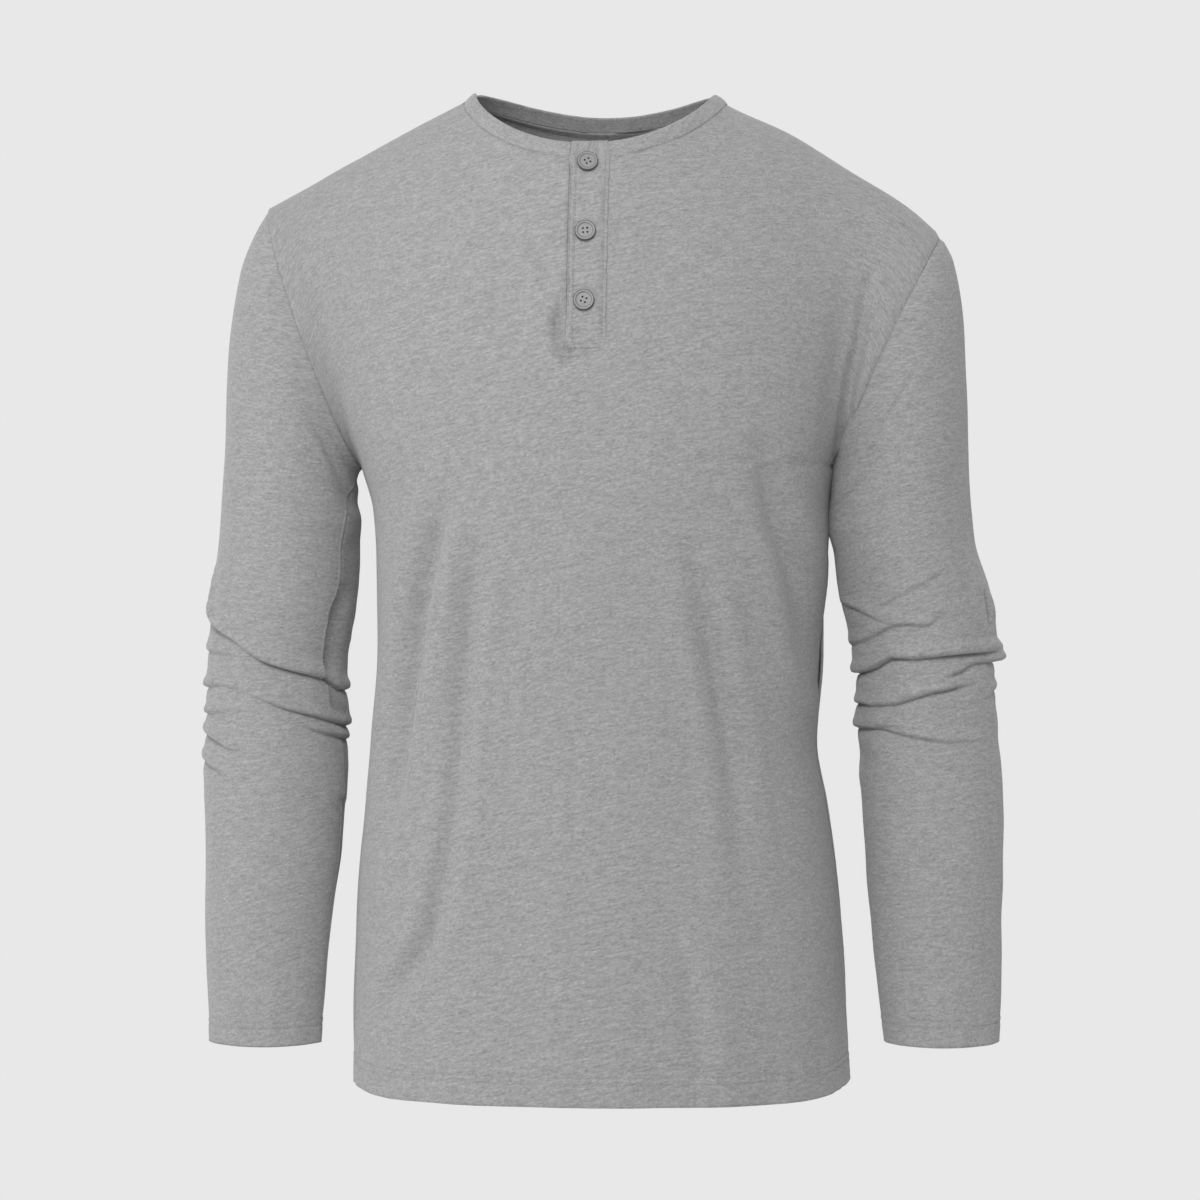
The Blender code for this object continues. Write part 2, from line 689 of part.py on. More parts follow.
def make_button(name, z, material):
    """A four-hole button, turned about its own axis and laid on the placket."""
    share = share_at(z)
    seat = placket_point(0, share, 2 * GAP + CLOTH)
    out = (placket_point(0, share, 1.0) - seat).normalized()
    radius, thick = BUTTON_RADIUS, BUTTON_THICKNESS
    # Radius and height of the button's profile, from the middle of its back.
    profile = (
        (0.0, 0.0), (radius * 0.8, 0.0), (radius, thick * 0.35), (radius, thick * 0.7),
        (radius * 0.93, thick), (radius * 0.78, thick * 0.95), (radius * 0.68, thick * 0.62),
        (0.0, thick * 0.55),
    )  # fmt: skip
    mesh = bmesh.new()
    verts = [mesh.verts.new((r, 0, h)) for r, h in profile]
    edges = [mesh.edges.new(pair) for pair in zip(verts, verts[1:])]
    bmesh.ops.spin(
        mesh, geom=verts + edges, cent=(0, 0, 0), axis=(0, 0, 1), dvec=(0, 0, 0),
        angle=math.tau, steps=BUTTON_SIDES, use_duplicate=False,
    )  # fmt: skip
    bmesh.ops.remove_doubles(mesh, verts=mesh.verts, dist=1e-6)
    bmesh.ops.recalc_face_normals(mesh, faces=mesh.faces)
    data = bpy.data.meshes.new(name)
    mesh.to_mesh(data)
    mesh.free()
    data.materials.append(material)
    data.shade_smooth()
    data.set_sharp_from_angle(angle=math.radians(40))
    button = bpy.data.objects.new(name, data)
    bpy.context.scene.collection.objects.link(button)
    button.rotation_euler = out.to_track_quat("Z", "X").to_euler()
    button.location = seat
    for index, (a, b) in enumerate(((-1, -1), (-1, 1), (1, -1), (1, 1))):
        cut_hole(button, f"{name}_hole_{index}", a, b)
    return button


def cut_hole(button, name, across, up):
    """Cuts one thread hole through a button."""
    mesh = bmesh.new()
    bmesh.ops.create_cone(
        mesh, cap_ends=True, segments=8, radius1=BUTTON_HOLE_RADIUS,
        radius2=BUTTON_HOLE_RADIUS, depth=BUTTON_THICKNESS * 4,
    )  # fmt: skip
    data = bpy.data.meshes.new(name)
    mesh.to_mesh(data)
    mesh.free()
    cutter = bpy.data.objects.new(name, data)
    bpy.context.scene.collection.objects.link(cutter)
    cutter.parent = button
    cutter.location = (across * BUTTON_HOLE_SPACING, up * BUTTON_HOLE_SPACING, 0)
    cutter.hide_render = True
    cutter.display_type = "WIRE"
    cut = button.modifiers.new(name, "BOOLEAN")
    cut.operation = "DIFFERENCE"
    cut.object = cutter


def make_material(name, colour, roughness):
    material = bpy.data.materials.new(name)
    material.use_nodes = True
    shader = material.node_tree.nodes["Principled BSDF"]
    shader.inputs["Base Color"].default_value = (*colour, 1)
    shader.inputs["Roughness"].default_value = roughness
    shader.inputs["Metallic"].default_value = 0
    return material


def main():
    for obj in list(bpy.data.objects):
        bpy.data.objects.remove(obj)
    jersey = make_material("jersey", CLOTH_GREY, 0.95)
    plastic = make_material("button_plastic", BUTTON_GREY, 0.35)
    make_panel("front", jersey)
    make_panel("back", jersey)
    make_sleeve(-1, jersey)
    make_sleeve(1, jersey)
    make_neckband(jersey)
    slot = (SLOT_RIGHT + GAP, SLOT_LEFT - GAP, SLOT_BOTTOM_Z + 2 * GAP)
    make_strip("placket_under", *slot, 0.0, CLOTH, jersey)
    cover = (PLACKET_RIGHT, PLACKET_LEFT, PLACKET_BOTTOM_Z)
    make_strip("placket_top", *cover, GAP + CLOTH, CLOTH, jersey)
    for number, z in enumerate(BUTTON_HEIGHTS, 1):
        make_button(f"button_{number}", z, plastic)


main()
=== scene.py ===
"""A long-sleeved jersey henley, filled out as it is worn, made as shells of cloth on the
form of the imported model. Metres, +Z up, the front faces -Y, the wearer's left is +X."""

import math

import bmesh
import bpy
import numpy as np
from mathutils import Matrix, Vector


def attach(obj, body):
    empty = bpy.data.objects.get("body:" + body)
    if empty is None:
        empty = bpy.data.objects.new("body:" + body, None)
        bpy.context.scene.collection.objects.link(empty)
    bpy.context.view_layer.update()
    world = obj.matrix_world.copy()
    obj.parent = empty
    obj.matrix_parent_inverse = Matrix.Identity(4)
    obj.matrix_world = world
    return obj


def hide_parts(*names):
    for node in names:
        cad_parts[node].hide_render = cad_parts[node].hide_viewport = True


bl_info = {
    "name": "Henley Shirt",
    "version": (1, 0, 0),
    "blender": (4, 5, 0),
    "location": "View3D > Sidebar > Henley",
    "description": "Builds a jersey henley shirt, its buttons and its stitching",
    "category": "Object",
}

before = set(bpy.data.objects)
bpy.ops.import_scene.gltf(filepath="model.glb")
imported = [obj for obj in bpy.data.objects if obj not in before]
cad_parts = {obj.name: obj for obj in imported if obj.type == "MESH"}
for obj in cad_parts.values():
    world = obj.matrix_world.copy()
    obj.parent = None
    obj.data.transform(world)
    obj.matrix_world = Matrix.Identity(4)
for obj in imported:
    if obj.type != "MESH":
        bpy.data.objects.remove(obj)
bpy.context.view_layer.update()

# ---------------------------------------------------------------------------
# Pattern sizes in metres, as the solids have them
# ---------------------------------------------------------------------------

GAP = 0.0003
ARMPIT_Z = -0.2645
HEM_Z = -0.700
RISE = ARMPIT_Z - HEM_Z
HEM_DROP = 0.0075
HEM_DROP_POWER = 10
SQUARENESS = 0.045
FULLNESS = 0.56
ROW_CROWDING = 0.6
SLOPE_STEP = 0.002
EDGE_REACH = 3.0
NECK_HALF_WIDTH = 0.0935
NECK_SHIFT = -0.0025
NECK_Z = -0.0055
NECK_TILT = 0.0015
NECK_DROP = {"front": 0.0480, "back": 0.0120}
NECK_CURVE = {"front": 1.32, "back": 3.0}
BAND_HEIGHT = 0.011
BAND_LEAN = 0.35
NECK_SHARE = 0.385
CREST = 0.018
SLOT_RIGHT, SLOT_LEFT = -0.0127, 0.0118
SLOT_BOTTOM_Z = -0.182
PLACKET_RIGHT, PLACKET_LEFT = -0.0097, 0.0150
PLACKET_BOTTOM_Z = -0.1875
BOX_ROWS = (0.0022, 0.0110)
BUTTON_HEIGHTS = (-0.0585, -0.1072, -0.1552)
BUTTON_TURNS = (27, 5, -20)
CUFF_DROP = 0.002
ARMHOLE_BOW = {-1: 0.005, 1: 0.000}
SLEEVE_RADIUS = 0.052
# Round numbers that turn a share of a panel into metres, near enough: across half of it,
# up its front above the armpits, and up the shoulder.
HALF_GIRTH = 0.262
UPPER_RISE = 0.22
SHOULDER_RISE = 0.25
# Stitches: how far below the top of a hem the first row lies, the channel it lies in, and
# how much of its pitch a strand spans.
ROW_INSET = 0.0005
CHANNEL_DEPTH, CHANNEL_WIDTH = 0.0006, 0.0011
STRAND_SHARE = 0.74
# A button's holes, their distance from its middle, and its thickness before it is bevelled.
HOLE_RADIUS, HOLE_REACH = 0.00078, 0.00205
BUTTON_THICK = 0.0023
# The stage: the point that camera and lights face, the radius of its floor and wall, and
# how bright the surroundings are beside the backdrop.
MIDDLE = (0, 0, -0.36)
ROOM_RADIUS = 5
SURROUND = 0.735

# Height, half-width to the wearer's right and left, depth in front and behind.
BODY = (
    (-0.712, 0.1765, 0.1780, 0.123, 0.121),
    (-0.646, 0.1760, 0.1757, 0.121, 0.120),
    (-0.589, 0.1745, 0.1720, 0.118, 0.117),
    (-0.546, 0.1718, 0.1680, 0.116, 0.113),
    (-0.503, 0.1668, 0.1620, 0.116, 0.110),
    (-0.460, 0.1615, 0.1550, 0.117, 0.107),
    (-0.400, 0.1592, 0.1593, 0.121, 0.108),
    (-0.331, 0.1598, 0.1604, 0.128, 0.113),
    (-0.295, 0.1620, 0.1615, 0.131, 0.117),
    (-0.2645, 0.1705, 0.1660, 0.132, 0.120),
)

# Distance out from the centre and height of the shoulder line, on each side.
SHOULDER = {
    -1: (
        (0.0000, 0.0470),
        (0.0500, 0.0230),
        (0.0960, -0.0040),
        (0.1300, -0.0215),
        (0.1860, -0.0505),
        (0.2370, -0.0790),
    ),
    1: (
        (0.0000, 0.0470),
        (0.0450, 0.0240),
        (0.0910, -0.0070),
        (0.1380, -0.0302),
        (0.1775, -0.0545),
        (0.2210, -0.0828),
        (0.2430, -0.1020),
    ),
}

# Along the sleeve, outer point's x and z, inner point's x and z, middle's y, half-depth.
SLEEVE = {
    -1: (
        (0.000, 0.2370, -0.0790, 0.1705, -0.2645, 0.000, 0.0520),
        (0.018, 0.2480, -0.0980, 0.1745, -0.2690, 0.000, 0.0535),
        (0.050, 0.2590, -0.1250, 0.1762, -0.2770, 0.000, 0.0550),
        (0.104, 0.2675, -0.1800, 0.1758, -0.2900, 0.002, 0.0565),
        (0.155, 0.2695, -0.2310, 0.1735, -0.3040, 0.003, 0.0565),
        (0.242, 0.2757, -0.3170, 0.1745, -0.3330, 0.005, 0.0550),
        (0.300, 0.2825, -0.3740, 0.1790, -0.3760, 0.007, 0.0520),
        (0.331, 0.2845, -0.4050, 0.1825, -0.4050, 0.007, 0.0505),
        (0.372, 0.2855, -0.4460, 0.1815, -0.4460, 0.005, 0.0480),
        (0.400, 0.2862, -0.4740, 0.1812, -0.4740, 0.002, 0.0465),
        (0.465, 0.2840, -0.5390, 0.1845, -0.5390, -0.005, 0.0415),
        (0.500, 0.2827, -0.5746, 0.1885, -0.5746, -0.010, 0.0375),
        (0.543, 0.2810, -0.6175, 0.1925, -0.6175, -0.017, 0.0330),
        (0.600, 0.2765, -0.6740, 0.1960, -0.6740, -0.027, 0.0270),
    ),
    1: (
        (0.000, 0.2430, -0.1020, 0.1660, -0.2645, 0.000, 0.0520),
        (0.018, 0.2515, -0.1200, 0.1678, -0.2690, 0.000, 0.0535),
        (0.064, 0.2585, -0.1600, 0.1672, -0.2790, 0.001, 0.0560),
        (0.114, 0.2610, -0.2120, 0.1662, -0.2940, 0.002, 0.0570),
        (0.161, 0.2620, -0.2600, 0.1655, -0.3080, 0.003, 0.0570),
        (0.217, 0.2665, -0.3160, 0.1665, -0.3300, 0.004, 0.0560),
        (0.260, 0.2785, -0.3590, 0.1712, -0.3600, 0.006, 0.0540),
        (0.290, 0.2825, -0.3890, 0.1780, -0.3890, 0.007, 0.0520),
        (0.330, 0.2825, -0.4310, 0.1818, -0.4310, 0.006, 0.0490),
        (0.375, 0.2852, -0.4740, 0.1845, -0.4740, 0.002, 0.0460),
        (0.445, 0.2863, -0.5460, 0.1895, -0.5460, -0.006, 0.0410),
        (0.490, 0.2855, -0.5880, 0.1935, -0.5880, -0.013, 0.0360),
        (0.533, 0.2855, -0.6300, 0.1985, -0.6300, -0.020, 0.0310),
        (0.571, 0.2832, -0.6695, 0.2035, -0.6695, -0.027, 0.0270),
    ),
}
SLEEVE_NAME = {-1: "right", 1: "left"}
NECK_ENDS = {}

# ---------------------------------------------------------------------------
# Creases. Each has a depth, the height of the roll above it, its width,
# how far that roll hangs over it (less than 0 for a soft hollow), and the points it runs
# through with its strength there.
# ---------------------------------------------------------------------------

# On a sleeve: degrees round from the outside by the front, metres along, strength.
SLEEVE_CREASES = {
    -1: (
        (0.0045, 0.0028, 0.0085, 0.0016, (
            (8, 0.268, 0.6), (12, 0.281, 1.0), (17, 0.293, 1.3), (30, 0.303, 1.1),
            (45, 0.3095, 0.8), (58, 0.3145, 0.6), (70, 0.321, 0.55), (87, 0.3297, 0.85),
            (100, 0.3335, 1.0), (120, 0.338, 1.0), (134, 0.3405, 1.0), (150, 0.3445, 1.0),
            (168, 0.350, 0.9), (200, 0.351, 0.5))),
        (0.0018, 0.0012, 0.0080, 0.0000, (
            (-30, 0.322, 0.3), (10, 0.323, 0.8), (57, 0.326, 0.7), (76, 0.330, 0.4))),
        (0.0034, 0.0024, 0.0075, 0.0012, (
            (-40, 0.346, 0.6), (16, 0.3485, 0.8), (44, 0.347, 0.45), (69, 0.3515, 0.35),
            (85, 0.3565, 0.5), (107, 0.3635, 1.0), (130, 0.3685, 1.0), (175, 0.3757, 0.9),
            (215, 0.377, 0.4))),
        (0.0020, 0.0014, 0.0070, 0.0000, (
            (-50, 0.366, 0.5), (6, 0.368, 1.0), (50, 0.3664, 0.9), (75, 0.3655, 0.4))),
        (0.0026, 0.0018, 0.0070, 0.0006, (
            (112, 0.3705, 0.3), (130, 0.379, 0.8), (172, 0.385, 1.0), (205, 0.387, 0.4))),
        (0.0028, 0.0020, 0.0070, 0.0008, (
            (-45, 0.378, 0.4), (5, 0.3804, 1.0), (38, 0.3865, 0.9), (57, 0.392, 0.7),
            (73, 0.394, 0.3))),
        (0.0022, 0.0016, 0.0090, 0.0000, (
            (-30, 0.396, 0.4), (6, 0.400, 1.0), (38, 0.407, 0.9), (53, 0.4125, 0.5),
            (64, 0.417, 0.2))),
        (0.0016, 0.0010, 0.0140, 0.0000, (
            (150, 0.428, 0.4), (168, 0.430, 1.0), (190, 0.432, 0.5))),
        (0.0024, 0.0014, 0.0130, 0.0000, (
            (205, 0.318, 0.4), (245, 0.327, 1.0), (290, 0.333, 0.8), (325, 0.330, 0.4))),
        (0.0022, 0.0014, 0.0120, 0.0000, (
            (215, 0.350, 0.5), (260, 0.356, 1.0), (300, 0.360, 0.7), (335, 0.356, 0.3))),
        (0.0018, 0.0010, 0.0120, 0.0000, (
            (225, 0.384, 0.4), (265, 0.380, 1.0), (315, 0.384, 0.8), (345, 0.390, 0.3))),
        (0.0018, 0.0008, 0.0110, -1.0, (
            (120, 0.040, 0.3), (142, 0.060, 1.0), (156, 0.100, 0.6), (160, 0.135, 0.2))),
        (0.0020, 0.0010, 0.0120, -1.0, (
            (205, 0.030, 0.4), (222, 0.060, 1.0), (232, 0.100, 0.6), (240, 0.150, 0.2))),
    ),
    1: (
        (0.0048, 0.0032, 0.0080, 0.0018, (
            (-35, 0.2945, 0.0), (9, 0.2959, 0.05), (20, 0.2968, 0.4), (32, 0.2974, 0.8),
            (51, 0.2980, 0.9), (78, 0.3000, 0.8), (100, 0.3018, 0.7), (116, 0.3010, 0.9),
            (125, 0.3043, 1.0), (139, 0.3089, 1.0), (167, 0.3115, 1.0), (205, 0.312, 0.4))),
        (0.0036, 0.0022, 0.0080, 0.0010, (
            (50, 0.3195, 0.2), (60, 0.3205, 0.7), (70, 0.3221, 1.0), (86, 0.3246, 1.0),
            (100, 0.3285, 0.9), (116, 0.3325, 0.7), (139, 0.3339, 0.6), (160, 0.3325, 0.9),
            (200, 0.333, 0.4))),
        (0.0028, 0.0020, 0.0070, 0.0006, (
            (-50, 0.303, 0.5), (8, 0.3040, 1.5), (20, 0.3040, 1.2), (30, 0.3042, 0.9),
            (46, 0.3057, 0.8), (58, 0.3107, 0.8), (72, 0.3143, 0.4))),
        (0.0030, 0.0022, 0.0085, 0.0006, (
            (40, 0.3604, 0.2), (74, 0.3604, 0.6), (94, 0.3579, 0.8), (114, 0.3543, 0.8),
            (133, 0.3507, 0.9), (161, 0.3507, 1.0), (205, 0.351, 0.4))),
        (0.0016, 0.0012, 0.0065, 0.0000, (
            (90, 0.3507, 0.3), (114, 0.3493, 1.0), (128, 0.3482, 0.8), (150, 0.345, 0.3))),
        (0.0022, 0.0014, 0.0085, 0.0000, (
            (68, 0.270, 0.2), (75, 0.2742, 0.6), (86, 0.2805, 0.9), (103, 0.2792, 1.0),
            (121, 0.2839, 1.0), (139, 0.290, 0.8), (168, 0.293, 0.8), (200, 0.294, 0.3))),
        (0.0017, 0.0012, 0.0085, 0.0000, (
            (175, 0.262, 0.3), (152, 0.267, 1.0), (136, 0.272, 0.9), (123, 0.2767, 0.7),
            (112, 0.278, 0.3))),
        (0.0013, 0.0009, 0.0090, 0.0000, (
            (122, 0.266, 0.3), (112, 0.264, 0.8), (94, 0.255, 1.0), (70, 0.2446, 0.8),
            (54, 0.235, 0.3))),
        (0.0020, 0.0016, 0.0070, 0.0000, (
            (-45, 0.320, 0.5), (5, 0.3225, 1.0), (22, 0.326, 0.5))),
        (0.0012, 0.0008, 0.0065, -1.0, (
            (130, 0.376, 0.3), (160, 0.373, 1.0), (195, 0.372, 0.4))),
        (0.0024, 0.0014, 0.0130, 0.0000, (
            (208, 0.276, 0.4), (245, 0.283, 1.0), (290, 0.288, 0.8), (325, 0.284, 0.4))),
        (0.0022, 0.0014, 0.0120, 0.0000, (
            (212, 0.312, 0.5), (258, 0.317, 1.0), (300, 0.314, 0.7), (330, 0.312, 0.3))),
        (0.0018, 0.0010, 0.0120, 0.0000, (
            (222, 0.345, 0.4), (262, 0.341, 1.0), (312, 0.346, 0.8), (342, 0.352, 0.3))),
        (0.0013, 0.0010, 0.0060, -1.0, (
            (74, 0.060, 0.3), (92, 0.070, 1.0), (118, 0.092, 1.0), (140, 0.106, 0.3))),
        (0.0012, 0.0009, 0.0060, -1.0, (
            (108, 0.112, 0.3), (132, 0.120, 1.0), (158, 0.124, 0.5))),
        (0.0020, 0.0010, 0.0120, -1.0, (
            (205, 0.030, 0.4), (222, 0.060, 1.0), (232, 0.100, 0.6), (240, 0.150, 0.2))),
    ),
}  # fmt: skip

# On a body panel: metres out from the centre, height, strength.
PANEL_CREASES = {
    "front": (
        (0.0056, 0.0012, 0.0038, -1.0, (
            (0.195, -0.130, 0.2), (0.190, -0.152, 0.5), (0.1868, -0.178, 0.8),
            (0.1815, -0.200, 1.0), (0.1775, -0.225, 1.0), (0.1735, -0.250, 0.9))),
        (0.0125, 0.0038, 0.0085, -1.0, (
            (-0.0980, -0.290, 0.2), (-0.1100, -0.325, 0.8), (-0.1215, -0.370, 1.0),
            (-0.1305, -0.425, 1.0), (-0.1390, -0.480, 0.8), (-0.1460, -0.525, 0.2))),
        (0.0072, 0.0022, 0.0080, -1.0, (
            (-0.0745, -0.324, 0.2), (-0.0795, -0.360, 0.8), (-0.0868, -0.424, 0.9),
            (-0.0905, -0.481, 0.7), (-0.0975, -0.531, 0.8), (-0.1083, -0.588, 0.9),
            (-0.1250, -0.617, 1.0), (-0.1440, -0.645, 0.4))),
        (0.0066, 0.0020, 0.0082, -1.0, (
            (0.0740, -0.325, 0.2), (0.0832, -0.375, 0.9), (0.0922, -0.420, 1.0),
            (0.1002, -0.467, 0.8), (0.1052, -0.524, 0.5), (0.1082, -0.567, 0.2))),
        (0.0092, 0.0030, 0.0085, -1.0, (
            (0.120, -0.255, 0.2), (0.1310, -0.305, 0.9), (0.1410, -0.337, 1.0),
            (0.1490, -0.374, 0.8), (0.1560, -0.420, 0.3))),
        (0.0020, 0.0006, 0.0080, -1.0, (
            (0.062, -0.580, 0.2), (0.070, -0.625, 1.0), (0.080, -0.690, 0.7))),
        (0.0058, 0.0010, 0.0040, -1.0, (
            (-0.0125, -0.146, 0.1), (-0.0150, -0.161, 0.6), (-0.0178, -0.172, 1.0),
            (-0.0165, -0.184, 1.0), (-0.0110, -0.1920, 0.9), (-0.0030, -0.1955, 0.5),
            (0.0060, -0.1955, 0.3), (0.0120, -0.194, 0.1))),
        (0.0014, 0.0008, 0.0100, -1.0, (
            (-0.160, -0.262, 0.3), (-0.152, -0.240, 1.0), (-0.150, -0.215, 0.6),
            (-0.152, -0.190, 0.2))),
    ),
    "back": (
        (0.0026, 0.0014, 0.0120, -1.0, (
            (-0.185, -0.140, 0.2), (-0.176, -0.180, 0.9), (-0.168, -0.215, 1.0),
            (-0.162, -0.250, 0.5))),
        (0.0026, 0.0014, 0.0120, -1.0, (
            (0.188, -0.150, 0.2), (0.177, -0.185, 0.9), (0.168, -0.218, 1.0),
            (0.160, -0.250, 0.5))),
        (0.0034, 0.0014, 0.0075, -1.0, (
            (-0.120, -0.405, 0.2), (-0.060, -0.420, 0.9), (0.010, -0.424, 1.0),
            (0.085, -0.414, 0.7), (0.130, -0.398, 0.2))),
        (0.0030, 0.0012, 0.0065, -1.0, (
            (-0.090, -0.455, 0.2), (-0.030, -0.462, 1.0), (0.050, -0.455, 0.8),
            (0.100, -0.442, 0.2))),
        (0.0030, 0.0010, 0.0065, -1.0, (
            (0.110, -0.560, 0.2), (0.122, -0.600, 1.0), (0.128, -0.650, 0.4))),
    ),
}  # fmt: skip

# Soft folds that the solids have too: x, top, bottom, depth, width.
DRAPES = {
    "front": (
        (-0.118, -0.46, -0.70, 0.0030, 0.030),
        (-0.048, -0.40, -0.70, 0.0022, 0.034),
        (0.060, -0.38, -0.70, 0.0024, 0.036),
        (0.122, -0.30, -0.70, 0.0030, 0.026),
    ),
    "back": (
        (-0.110, -0.36, -0.70, 0.0034, 0.028),
        (-0.030, -0.30, -0.70, 0.0040, 0.032),
        (0.055, -0.32, -0.70, 0.0036, 0.030),
        (0.125, -0.40, -0.70, 0.0028, 0.026),
    ),
}
# Soft folds beside the armpits: across, up, lean, depth, width, reach.
CHEST_FOLDS = {
    "front": (
        (0.84, 0.30, 0.10, 0.0045, 0.14, 0.34),
        (-0.88, 0.26, -0.10, 0.0030, 0.10, 0.28),
    ),
    "back": (
        (0.84, 0.28, 0.10, 0.0050, 0.12, 0.32),
        (-0.84, 0.28, -0.10, 0.0050, 0.12, 0.32),
    ),
}

# The seam under the right arm, which turns to the front: along, degrees.
RIGHT_SEAM = (
    (0.000, 180), (0.050, 172), (0.100, 160), (0.155, 150), (0.215, 147), (0.264, 146),
    (0.275, 144), (0.294, 138), (0.340, 139), (0.345, 145), (0.358, 146), (0.368, 153),
    (0.382, 164), (0.404, 166), (0.480, 168), (0.600, 170),
)  # fmt: skip
LEFT_SEAM = ((0.000, 180), (0.150, 190), (0.300, 186), (0.571, 184))


# ---------------------------------------------------------------------------
# Curves and surfaces
# ---------------------------------------------------------------------------

def smooth(rows, at):
    """The other columns of a table at these values of its first, on a monotone cubic."""
    data = np.array(rows, float)
    keys, values = data[:, 0], data[:, 1:]
    at = np.clip(at, keys[0], keys[-1])
    slopes = np.diff(values, axis=0) / np.diff(keys)[:, None]
    before, after = slopes[:-1], slopes[1:]
    both = before * after
    total = np.where(both > 0, before + after, 1.0)
    tangents = np.vstack((slopes[:1], np.where(both > 0, 2 * both / total, 0.0), slopes[-1:]))
    i = np.clip(np.searchsorted(keys, at, side="right") - 1, 0, len(keys) - 2)
    step = (keys[i + 1] - keys[i])[..., None]
    t = (at - keys[i])[..., None] / step
    start, end = values[i], values[i + 1]
    pull = tangents[i] * step * t * (1 - t) ** 2 - tangents[i + 1] * step * t * t * (1 - t)
    result = start + (end - start) * t * t * (3 - 2 * t) + pull
    return [result[..., n] for n in range(result.shape[-1])]


def unit(vectors):
    """These vectors with a length of 1."""
    return vectors / np.maximum(np.linalg.norm(vectors, axis=-1, keepdims=True), 1e-12)


def bump(distance, width):
    """A smooth rise that is 1 in the middle and 0 from this distance on."""
    share = np.minimum(np.abs(distance) / width, 1)
    return (1 - share * share) ** 2


def ramp(value, start, end):
    """A smooth step from 0 at the start to 1 at the end."""
    t = np.clip((value - start) / (end - start), 0, 1)
    return t * t * (3 - 2 * t)


def bell(distance, width):
    """A bell curve, as seams, creases and channels have in section."""
    return np.exp(-((distance / width) ** 2))


def stack(*parts):
    """Separate coordinates as one array of points."""
    return np.stack(np.broadcast_arrays(*parts), -1)


def body_point(face, u, z):
    """A point below the armpits: u from -1 to 1 across a panel, at this height."""
    u, z = np.broadcast_arrays(np.asarray(u, float), np.asarray(z, float))
    right, left, front, back = smooth(BODY, z)
    angle = u * math.pi / 2
    swell = 1 + SQUARENESS * np.sin(2 * angle) ** 2
    x = np.where(u > 0, left, right) * np.sin(angle) * swell
    depth = (front if face == "front" else back) * np.cos(angle) * swell
    for middle, top, bottom, deep, width in DRAPES[face]:
        depth = depth - deep * bump(x - middle, width) * ramp(z, top, bottom) * np.cos(angle)
    return stack(x, -depth if face == "front" else depth, z)


def hem_point(face, u, up):
    """The same, by the height above a hem that dips between the side seams."""
    drop = HEM_DROP * (1 - np.abs(np.sin(u * math.pi / 2)) ** HEM_DROP_POWER)
    point = body_point(face, u, HEM_Z + up)
    point[..., 2] -= drop * (1 - ramp(up, 0, RISE))
    return point


def ring_point(side, ring, angle, bow=0.0):
    """A point of a sleeve's ring, where ring holds the table's columns after the first."""
    out_x, out_z, in_x, in_z, mid_y, half_depth = ring
    zero = np.zeros(np.broadcast(out_x, angle).shape)
    outer = stack(side * out_x + zero, mid_y + zero, out_z + zero)
    inner = stack(side * in_x + zero, mid_y + zero, in_z + zero)
    half = (outer - inner) / 2
    away = unit(stack(side * half[..., 2], zero, -half[..., 0]))
    point = (outer + inner) / 2 + half * np.cos(angle)[..., None]
    point[..., 1] -= half_depth * np.sin(angle)
    return point + away * (bow * np.abs(np.sin(angle)) ** 1.2)[..., None]


def armhole_point(side, angle):
    """A point of the armhole's seam, where the sleeve starts."""
    ring = [np.full(np.shape(angle), value) for value in SLEEVE[side][0][1:]]
    return ring_point(side, ring, angle, ARMHOLE_BOW[side])


def column_point(face, u, v, side):
    """A quarter of a rough ellipse from the armpits' level up to the shoulder line."""
    foot = body_point(face, u, ARMPIT_Z)
    below = body_point(face, u, ARMPIT_Z - SLOPE_STEP)
    rows = SHOULDER[side]
    neck, tip = rows[2][0], rows[-1][0]
    inner = neck * np.sin(np.abs(u) * math.pi / 2) / math.sin(NECK_SHARE * math.pi / 2)
    share = np.clip((np.abs(u) - NECK_SHARE) / (1 - NECK_SHARE), 0, 1)
    pace = neck * math.pi / 2 * (1 - NECK_SHARE) / math.tan(NECK_SHARE * math.pi / 2)
    outer = neck + pace * share + (tip - neck - pace) * share**2
    out = np.where(np.abs(u) <= NECK_SHARE, inner, outer)
    crest = np.hypot(out, CREST * bell(out, 0.05))
    top = stack(side * out, 0.0 * out, smooth(rows, crest)[0])
    rise = (top - foot)[..., 2:]
    first = foot + (foot - below) / SLOPE_STEP * (FULLNESS * rise)
    second = top.copy()
    second[..., 1] += FULLNESS * foot[..., 1]
    v = np.asarray(v)[..., None]
    w = 1 - v
    return foot * w**3 + first * (3 * w * w * v) + second * (3 * w * v * v) + top * v**3


def upper_point(face, u, v):
    """A point above the armpits, v of the way up, pulled to the armhole at the sides."""
    u, v = np.broadcast_arrays(np.asarray(u, float), np.asarray(v, float))
    turn = math.pi * (1 - v) if face == "front" else math.pi * (1 + v)
    result = np.empty(u.shape + (3,))
    for side in (-1, 1):
        mine = (u >= 0) == (side > 0)
        if not mine.any():
            continue
        a, b, c = u[mine], v[mine], turn[mine]
        pull = armhole_point(side, c) - column_point(face, np.full(a.shape, side), b, side)
        result[mine] = column_point(face, a, b, side) + pull * (np.abs(a) ** EDGE_REACH)[:, None]
    for middle, up, lean, deep, width, reach in CHEST_FOLDS[face]:
        depth = deep * bump(u - middle - lean * (v - up), width) * bump(v - up, reach)
        result[..., 1] += depth if face == "front" else -depth
    return result


def neck_height(face, x):
    """The neckline's height, this far from the centre line."""
    share = np.clip((x - NECK_SHIFT) / NECK_HALF_WIDTH, -1, 1)
    drop = NECK_DROP[face] * (1 - share**2) ** (NECK_CURVE[face] / 2)
    return NECK_Z - NECK_TILT * share - drop


